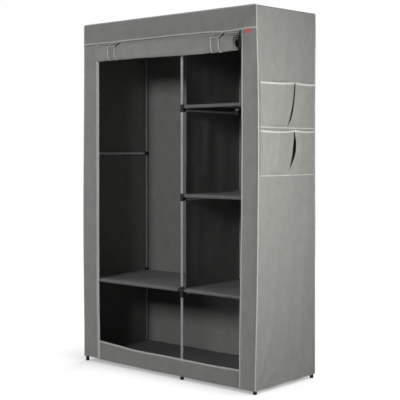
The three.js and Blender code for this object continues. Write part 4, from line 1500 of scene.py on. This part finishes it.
@dataclass
class RollDoor:
    """The rolled door under the header, its free cloth behind and the two straps that hold it."""

    plan: BodyPlan = PLAN
    left: float = -0.44201
    right: float = 0.44599
    axis: Pair = (-0.2274, 1.5430)
    half: Pair = (0.0167, 0.0430)
    wound: Pair = (0.0105, 0.0135)
    end_axis: Pair = (-0.2192, 1.5405)
    end_half: Pair = (0.0328, 0.0392)
    end_wound: Pair = (0.0150, 0.0215)
    end_shift: Pair = (0.0100, -0.0050)
    recess: float = 0.0040
    dent: float = 0.23
    drop: float = 1.46
    flare_start: float = 0.352
    flare_run: float = 0.078
    pinch: float = 0.08
    pinch_reach: float = 0.030
    tilt: float = 0.0036
    turns: int = 3
    wall: float = 0.0013
    sheet_wall: float = 0.0011
    # The free cloth reaches up behind the header, and its ends that stay sewn are this long
    header_lap: float = 0.027
    sewn_end: float = 0.002
    strap_width: float = 0.050
    bound_edge: float = 0.0024
    # The share to which the roll and the straps would go flat about their planes with the door down
    flat_share: float = 0.1
    roll_plane: float = -0.2160
    # Where a strap's flap starts and bends, and the angles in degrees between which it goes round the roll
    flap_start: Pair = (-0.2140, 0.0050)
    flap_bend: Pair = (0.0016, 0.0225)
    wrap: Pair = (146, 292)

    def slimming(self, x: Array) -> Array:
        """The share of its full girth that the roll has at an X: it gives way under the straps."""
        pinch = sum(self.pinch * np.exp(-((x - strap) / self.pinch_reach) ** 2) for strap in self.plan.straps)
        return 1 - pinch - 0.012 * (1 + np.sin(x * 21 + 1) * np.sin(x * 9))

    def level(self, x: Array) -> Array:
        """The level of the roll's middle at an X: it hangs a little lower to the right."""
        return self.axis[1] - self.tilt * np.tanh(x / 0.2)

    def flare(self, x: Array) -> Array:
        """How far the roll has opened out at an X: its right end does, and the left one stays tight."""
        return smoothstep(np.clip((x - self.flare_start) / self.flare_run, 0, 1))

    def back(self, x: Array, z: Array) -> Array:
        """The Y of the back of the roll's outer turn at an X and a level."""
        flare = self.flare(x)
        centre_y = self.axis[0] + (self.end_axis[0] - self.axis[0]) * flare
        centre_z = self.level(x) + (self.end_axis[1] - self.level(x)) * flare
        half_y, half_z = (half + (end - half) * flare for half, end in zip(self.half, self.end_half))
        return centre_y + half_y * np.sqrt(1 - np.clip(np.abs(z - centre_z) / half_z, 0, 1) ** 2)

    def roll(self) -> None:
        """Winds the door; its right end opens out, and the inner turns lie back from the ends."""
        t = np.linspace(0, 1, self.turns * 44 + 1)[:, None]
        angle = TURN * self.turns * t
        u = 0.5 - 0.5 * np.cos(math.pi * np.linspace(0, 1, 141))[None, :]
        left = self.left + self.recess * t + 0.0010 * np.sin(angle * 0.41)
        right = self.right - self.recess * t - 0.0010 * np.sin(angle * 0.37 + 1)
        x = left + (right - left) * u
        flare, share = self.flare(x), self.slimming(x)
        wave = 0.0006 * np.abs(np.sin(x * 34 + angle)) * (t < 0.3)
        rings = []
        for half, wound, end_half, end_wound in zip(self.half, self.wound, self.end_half, self.end_wound):
            slim, full = (half - wound * t) * share, end_half - end_wound * t
            rings.append(slim + (full - slim) * flare - wave)
        y = self.axis[0] + (self.end_axis[0] + self.end_shift[0] * t - self.axis[0]) * flare
        z = self.level(x) + (self.end_axis[1] + self.end_shift[1] * t - self.level(x)) * flare
        # The straps press the roll's upper side down
        pressed = np.where(np.sin(angle) < 0, 1 - self.dent * self.plan.under_strap(x), 1.0)
        surface = stacked(x, y + rings[0] * np.cos(angle), z - rings[1] * pressed * np.sin(angle))
        run = lengths_along(surface[:, 70])
        # The roll's cloth is brightened: painted light
        piece = cloth_piece("door_roll.cloth", surface, stacked(x, run[:, None]), self.wall, LIT_DOOR_CLOTH)
        fit(piece, "door", "cover_fabric", "door_roll")
        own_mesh(piece)

    def free_sheet(self, name: str, first: float, last: float, low: float) -> None:
        """Hangs cloth between the header and the roll, where it stays when the door comes down.

        Args:
            name: The piece's name.
            first: The X of its left edge.
            last: The X of its right edge.
            low: The level of its lower edge.
        """
        u, v = grid(max(12, round((last - first) / 0.01)), 60)
        high = self.plan.header + self.header_lap
        z = low + (high - low) * v
        # Its free edges are cut so that they lie along the opening's edges when it is let down
        top, bottom = high - self.sewn_end, low + self.sewn_end
        dropped = z - self.drop * np.clip((top - z) / (top - bottom), 0, 1)
        start = first if first > self.left else self.plan.opening_edge(dropped, -1) + 0.0015
        end = last if last < self.right else self.plan.opening_edge(dropped, 1) - 0.0060
        x = start + (end - start) * u
        behind = np.clip((z - self.plan.header) / 0.008, 0, 1)
        y = self.plan.front - 0.0015 + 0.0010 * behind + 0.0004 * np.sin(x * 30) * eased(v, 0.3)
        y = np.maximum(y, self.back(x, z) + 0.0018)
        piece = cloth_piece(name, stacked(x, y, z), stacked(x, z), self.sheet_wall, LIT_DOOR_CLOTH)
        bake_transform(piece)
        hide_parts("door_sheet")
        LOG.info("%s between root and door", name)

    def strap_path(self, x: float) -> tuple[Array, Array, int]:
        """Finds the middle line of a strap: down its flap to a sharp bend, then round the roll's front.

        Args:
            x: The X of its middle.

        Returns:
            The line's points, its outward direction at each, and the number of the point at the bend.
        """
        share = float(self.slimming(np.array(x)))
        y_half, z_half = (half * share + 0.0011 for half in self.half)
        middle = float(self.level(np.array(x)))
        seam = np.array([self.flap_start[0], float(self.plan.header_edge(x)) - self.flap_start[1]])
        bend = np.array([self.axis[0] - y_half - self.flap_bend[0], middle + self.flap_bend[1]])
        angles = np.radians(np.linspace(*self.wrap, 44))
        rise = np.sin(angles) * np.where(np.sin(angles) > 0, 1 - self.dent, 1.0)
        front = stacked(self.axis[0] + y_half * np.cos(angles), middle + z_half * rise)
        flap = seam + (bend - seam) * np.linspace(0, 1, 14)[:, None]
        drop = bend + (front[0] - bend) * np.linspace(0, 1, 5)[1:-1, None]
        flat = np.concatenate([flap, drop, front])
        way = np.gradient(flat, axis=0)
        way /= np.linalg.norm(way, axis=1, keepdims=True)
        return stacked(x, flat[:, 0], flat[:, 1]), stacked(0.0, way[:, 1], -way[:, 0]), len(flap)

    def strap(self, name: str, x: float) -> None:
        """Makes one strap with its two bound edges and the flap that holds it.

        Args:
            name: left or right.
            x: The X of its middle.
        """
        path, outward, bend = self.strap_path(x)
        start, half = outward[:1], self.strap_width / 2
        body, piece_name = f"strap_{name}", f"door_strap_{name}"
        web = swept_piece(f"{piece_name}.cloth", path, RIGHT, outward,
                          rounded(self.strap_width, 0.0012, 0.0005, 2), COVER_CLOTH)
        fit(web, body, "strap_fabric", piece_name)
        trims = []
        for way, side in ((-1, "outer"), (1, "inner")):
            line = path[bend - 1:] + RIGHT * way * (half - self.bound_edge) + outward[bend - 1:] * 0.0006
            trims.append(swept_piece(f"{piece_name}_{side}.tape", line, RIGHT, outward[bend - 1:],
                                     rounded(0.0052, 0.0024, 0.001), BINDING_TAPE))
        flap = path[:bend] + start * 0.0016
        # The flap's cloth is brightened: painted light
        trims.append(swept_piece(f"{piece_name}_flap.cloth", flap, RIGHT, start,
                                 rounded(self.strap_width + 0.004, 0.0018, 0.0007, 2), LIT_BAND_CLOTH))
        for way, side in ((-1, "outer"), (1, "inner")):
            line = flap + RIGHT * way * half + start * 0.0006
            trims.append(swept_piece(f"{piece_name}_flap_{side}.tape", line, RIGHT, start,
                                     rounded(0.0044, 0.0022, 0.0009), BINDING_TAPE))
        down = (flap[-1] - flap[0]) / np.linalg.norm(flap[-1] - flap[0])
        ends = flap[-1] - down * 0.002 + RIGHT * np.linspace(-0.5, 0.5, 12)[:, None] * (self.strap_width + 0.0045)
        trims.append(swept_piece(f"{piece_name}_flap_hem.tape", ends, down, outward[0],
                                 rounded(0.0044, 0.0030, 0.0012), BINDING_TAPE))
        for piece in trims:
            fit(piece, body, "strap_fabric")
        for piece in [web, *trims]:
            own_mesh(piece)

    def build(self) -> None:
        """Builds the door."""
        self.roll()
        # Beside the opened end of the roll the cloth ends just behind its upper side, so that it stays open
        self.free_sheet("door_sheet.cloth", self.left, self.flare_start, self.axis[1])
        self.free_sheet("door_sheet_right.cloth", self.flare_start, self.right, self.end_axis[1] + 0.0312)
        for name, x in zip(("left", "right"), self.plan.straps):
            self.strap(name, x)


@dataclass
class ZipFastener:
    """The zip down both edges of the opening: tape, nylon coil and a slider with its pull."""

    plan: BodyPlan = PLAN
    tape: float = 0.018
    thickness: float = 0.0018
    clear: float = 0.0056
    seam: float = 0.0072
    tracks: Pair = (-0.45801, 0.4685)
    slider_length: float = 0.013
    plate: float = 0.0006
    # How far in front of the slider's back its two plates lie, and how far below its top the neck lies
    plates: Pair = (0.0009, 0.0038)
    neck: float = 0.0045
    # The bail's start below the top and its length, and the pull's place before the back and below the top
    bail: Pair = (0.0025, 0.0065)
    pull: Pair = (0.0057, 0.0065)

    def side(self, name: str, way: int, track: float) -> None:
        """Makes the fixed half of the zip and the slider at one edge.

        Args:
            name: left or right.
            way: -1 at the left edge and 1 at the right one.
            track: The X of the coil, which runs straight down for the slider.
        """
        levels = np.linspace(self.plan.hem + 0.002, self.plan.header + 0.001, 90)
        x = self.plan.opening_edge(levels, way) + way * self.tape / 2 + 0.0005 * np.sin(levels * 17 + way)
        y = self.plan.front - 0.0007
        tape = swept_piece(f"zip_{name}.tape", stacked(x, y, levels), RIGHT, FORWARD,
                           rounded(self.tape, self.thickness, 0.0007), BINDING_TAPE if way < 0 else COVER_CLOTH)
        fit(tape, "root", "cover_fabric")
        if way > 0:
            turned = swept_piece(f"zip_{name}_edge.tape", stacked(x - 0.0052, y - 0.0003, levels), RIGHT, FORWARD,
                                 rounded(0.0078, 0.0026, 0.0011), BINDING_TAPE)
            fit(turned, "root", "cover_fabric")
        coil = ZIP_COIL.along(f"zip_{name}.coil", [stacked(track, y - 0.0012, levels)], 0.0007, 0.0016, 0.0046)
        fit(coil, "root", "zip_metal")
        seams = []
        for off in (-self.seam, self.seam):
            row = stacked(x + off, y - (0.0017 if way > 0 > off else 0.0010), levels)
            seams.append(row[np.abs(row[:, 0] - track) > self.clear])
        fit(stitches(f"zip_{name}.stitches", seams), "root", "cover_fabric")
        self.slider(name, track)

    def slider(self, name: str, x: float) -> None:
        """Makes a slider: two plates, a bridge and a pull that hangs from it.

        Args:
            name: left or right.
            x: The X of its coil.
        """
        low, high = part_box(f"zip_slider_{name}")
        back, top = high.y, high.z
        stations = np.linspace(0, 1, 12)
        width = 0.0046 - 0.0012 * np.abs(stations - 0.45) ** 1.5
        ring = np.concatenate([stacked(width, top - self.slider_length * stations),
                               stacked(-width, top - self.slider_length * stations)[::-1]])
        count = len(ring)
        points, faces = [], []
        for start, depth in zip((0, 2 * count), self.plates):
            for y in (back - depth + self.plate, back - depth - self.plate):
                points.append(stacked(x + ring[:, 0], y, ring[:, 1]))
            near, far = start + np.arange(count), start + count + np.arange(count)
            faces += [near.tolist(), far[::-1].tolist()]
            faces += [[int(near[i - 1]), int(far[i - 1]), int(far[i]), int(near[i])] for i in range(count)]
        plates = mesh_piece(f"zip_slider_{name}.plates", np.concatenate(points), faces, LACQUERED_ZINC)
        fit(plates, f"slider_{name}", "zip_metal", f"zip_slider_{name}")
        share = np.linspace(0, 1, 10)
        hook, reach = self.bail
        for kind, line, up, outline in (
                ("neck", stacked(x, back - np.array(self.plates), top - self.neck),
                 UP, rounded(0.0022, 0.005, 0.0009)),
                ("bail", stacked(x, back - 0.0044 - 0.0012 * np.sin(math.pi * share), top - hook - reach * share),
                 FORWARD, rounded(0.0024, 0.0009, 0.0004)),
                ("pull", stacked(x, back - self.pull[0], np.linspace(top - self.pull[1], low.z, 14)),
                 FORWARD, rounded(0.0056, 0.0013, 0.0005))):
            piece = swept_piece(f"zip_slider_{name}.{kind}", line, RIGHT, up, outline, LACQUERED_ZINC)
            fit(piece, f"slider_{name}", "zip_metal")

    def build(self) -> None:
        """Builds both zip halves."""
        for name, way, track in zip(("left", "right"), (-1, 1), self.tracks):
            self.side(name, way, track)


@dataclass
class Studio:
    """Camera, lamps, floor and backdrop."""

    focal: float = 88.36
    shift: float = -0.08
    place: tuple[float, float, float] = (3.1687, -3.5576, 1.0554)
    pitch: float = 0.0158
    yaw: float = 0.7215
    ambient: float = 0.0
    floor_glow: float = 0.94
    # The distances over which the floor's glow goes over into the white backdrop
    floor_fade: Pair = (0.9, 3.2)
    # How far the floor is shaded softly and sharply by what stands near, as distance and depth
    soft_shade: Pair = (0.44, -0.58)
    sharp_shade: Pair = (0.09, -0.10)
    # Where the shading looks: away from the side box, which lights the floor on the right
    shade_lean: tuple[float, float, float] = (0.55, 0.30, 1.0)

    def camera(self) -> None:
        """Sets the camera at the photograph's place."""
        data = bpy.data.cameras.new("camera")
        data.sensor_width, data.lens, data.shift_y = 36.0, self.focal, self.shift
        data.clip_start, data.clip_end = 0.1, 60.0
        camera = placed("camera", data)
        camera.location = self.place
        camera.rotation_euler = (math.pi / 2 - self.pitch, 0.0, self.yaw)
        bpy.context.scene.camera = camera

    def lamp(self, name: str, place: Sequence[float], target: Sequence[float], size: Pair,
             power: float, tint: tuple[float, float, float] = (1.0, 1.0, 1.0)) -> None:
        """Adds a soft box.

        Args:
            name: The lamp's name.
            place: Where it stands.
            target: Where it points.
            size: Its width and height.
            power: Its power in watts.
            tint: Its colour.
        """
        data = bpy.data.lights.new(name, "AREA")
        data.shape, data.size, data.size_y, data.energy = "RECTANGLE", size[0], size[1], power
        data.color = tint
        lamp = placed(name, data)
        lamp.visible_camera = False
        lamp.location = place
        lamp.rotation_euler = (Vector(target) - Vector(place)).to_track_quat("-Z", "Y").to_euler()

    def seen_ray(self, tree: Tree) -> Socket:
        """Is 1 for what the camera sees straight, mirrored or through glass."""
        path = add_node(tree, "ShaderNodeLightPath").outputs
        some = add_node(tree, "ShaderNodeMath", {"operation": "MAXIMUM"}, {
            0: path["Is Camera Ray"], 1: path["Is Glossy Ray"]})
        return add_node(tree, "ShaderNodeMath", {"operation": "MAXIMUM"}, {
            0: some.outputs[0], 1: path["Is Transmission Ray"]}).outputs[0]

    def world(self) -> None:
        """Sets a white backdrop that lights the object only faintly, if at all."""
        world = bpy.data.worlds.new("studio")
        world.use_nodes = True
        tree = world.node_tree
        tree.nodes.clear()
        dim = add_node(tree, "ShaderNodeBackground", {}, {"Color": (1, 1, 1, 1), "Strength": self.ambient})
        white = add_node(tree, "ShaderNodeBackground", {}, {"Color": (1, 1, 1, 1), "Strength": 1.0})
        mixed = add_node(tree, "ShaderNodeMixShader", {}, {
            0: self.seen_ray(tree), 1: dim.outputs[0], 2: white.outputs[0]})
        add_node(tree, "ShaderNodeOutputWorld", {}, {"Surface": mixed.outputs[0]})
        bpy.context.scene.world = world

    def floor(self) -> None:
        """Lays a white floor that keeps the object's shadow."""
        mesh = bpy.data.meshes.new("floor")
        mesh.from_pydata([(-9, -9, 0), (9, -9, 0), (9, 9, 0), (-9, 9, 0)], [], [(0, 1, 2, 3)])
        floor = placed("floor", mesh)
        material, tree = new_material("matt_white_floor")
        seen = self.seen_ray(tree)
        # Matt paint, light grey to the lamps
        tone = add_node(tree, "ShaderNodeMapRange", {}, {"Value": seen, "To Min": 0.15, "To Max": 0.25})
        paint = add_node(tree, "ShaderNodeBsdfDiffuse", {}, {"Color": tone.outputs["Result"]})
        # What stands near shades the floor softly, and its edge sharply, also where the lamps reach
        lean = add_node(tree, "ShaderNodeVectorMath", {"operation": "NORMALIZE"}, {0: self.shade_lean}).outputs[0]
        shades = []
        for distance, depth in (self.soft_shade, self.sharp_shade):
            near = add_node(tree, "ShaderNodeAmbientOcclusion", {"samples": 8}, {
                "Distance": distance, "Normal": lean})
            shades.append(add_node(tree, "ShaderNodeMapRange", {}, {
                "Value": near.outputs["AO"], "To Min": depth, "To Max": 0.0}).outputs["Result"])
        shade = add_node(tree, "ShaderNodeMath", {"operation": "ADD"}, {0: shades[0], 1: shades[1]})
        # Far from the object the floor fades into the white backdrop
        place = add_node(tree, "ShaderNodeTexCoord").outputs["Object"]
        away = add_node(tree, "ShaderNodeVectorMath", {"operation": "LENGTH"}, {0: place})
        far = add_node(tree, "ShaderNodeMapRange", {"interpolation_type": "SMOOTHSTEP"}, {
            "Value": away.outputs["Value"], "From Min": self.floor_fade[0], "From Max": self.floor_fade[1],
            "To Min": self.floor_glow, "To Max": 1.0})
        level = add_node(tree, "ShaderNodeMath", {"operation": "ADD"}, {
            0: far.outputs["Result"], 1: shade.outputs[0]})
        strength = add_node(tree, "ShaderNodeMath", {"operation": "MULTIPLY"}, {0: seen, 1: level.outputs[0]})
        light = add_node(tree, "ShaderNodeEmission", {}, {
            "Color": (1, 1, 1, 1), "Strength": strength.outputs[0]})
        both = add_node(tree, "ShaderNodeAddShader", {}, {0: paint.outputs[0], 1: light.outputs[0]})
        add_node(tree, "ShaderNodeOutputMaterial", {}, {"Surface": both.outputs[0]})
        mesh.materials.append(material)

    def build(self) -> None:
        """Builds the studio."""
        bpy.context.scene.view_settings.view_transform = "Standard"
        self.camera()
        self.world()
        self.floor()
        middle, cool = (0.0, 0.0, 0.9), (1.0, 0.985, 1.0)
        self.lamp("side box", (2.1, -0.28, 1.12), (0.55, -1.00, 1.0), (0.26, 1.1), 44.5, (1.0, 1.0, 0.97))
        self.lamp("front box", (0.58, -4.8, 2.5), middle, (1.2, 1.0), 100, cool)
        self.lamp("left box", (-3.6, -3.2, 1.6), middle, (2.2, 2.4), 79, cool)
        self.lamp("rear top box", (-0.3, 1.4, 3.6), (0.0, 0.0, 1.7), (1.6, 1.6), 45)
        self.lamp("rear box", (-1.6, 4.6, 2.0), middle, (2.0, 2.0), 110)


def main() -> None:
    """Builds the wardrobe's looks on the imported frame."""
    logging.basicConfig(level=logging.INFO, format="%(name)s: %(message)s")
    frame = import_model()
    tubes = TubeFrame(sorted(frame["nodes"]))
    cover = Cover(tubes)
    for part in (tubes, Interior(tubes), cover, SidePockets(cover), RollDoor(), ZipFastener(), Studio()):
        LOG.info("building %s", type(part).__name__)
        part.build()


if __name__ == "__main__":
    main()
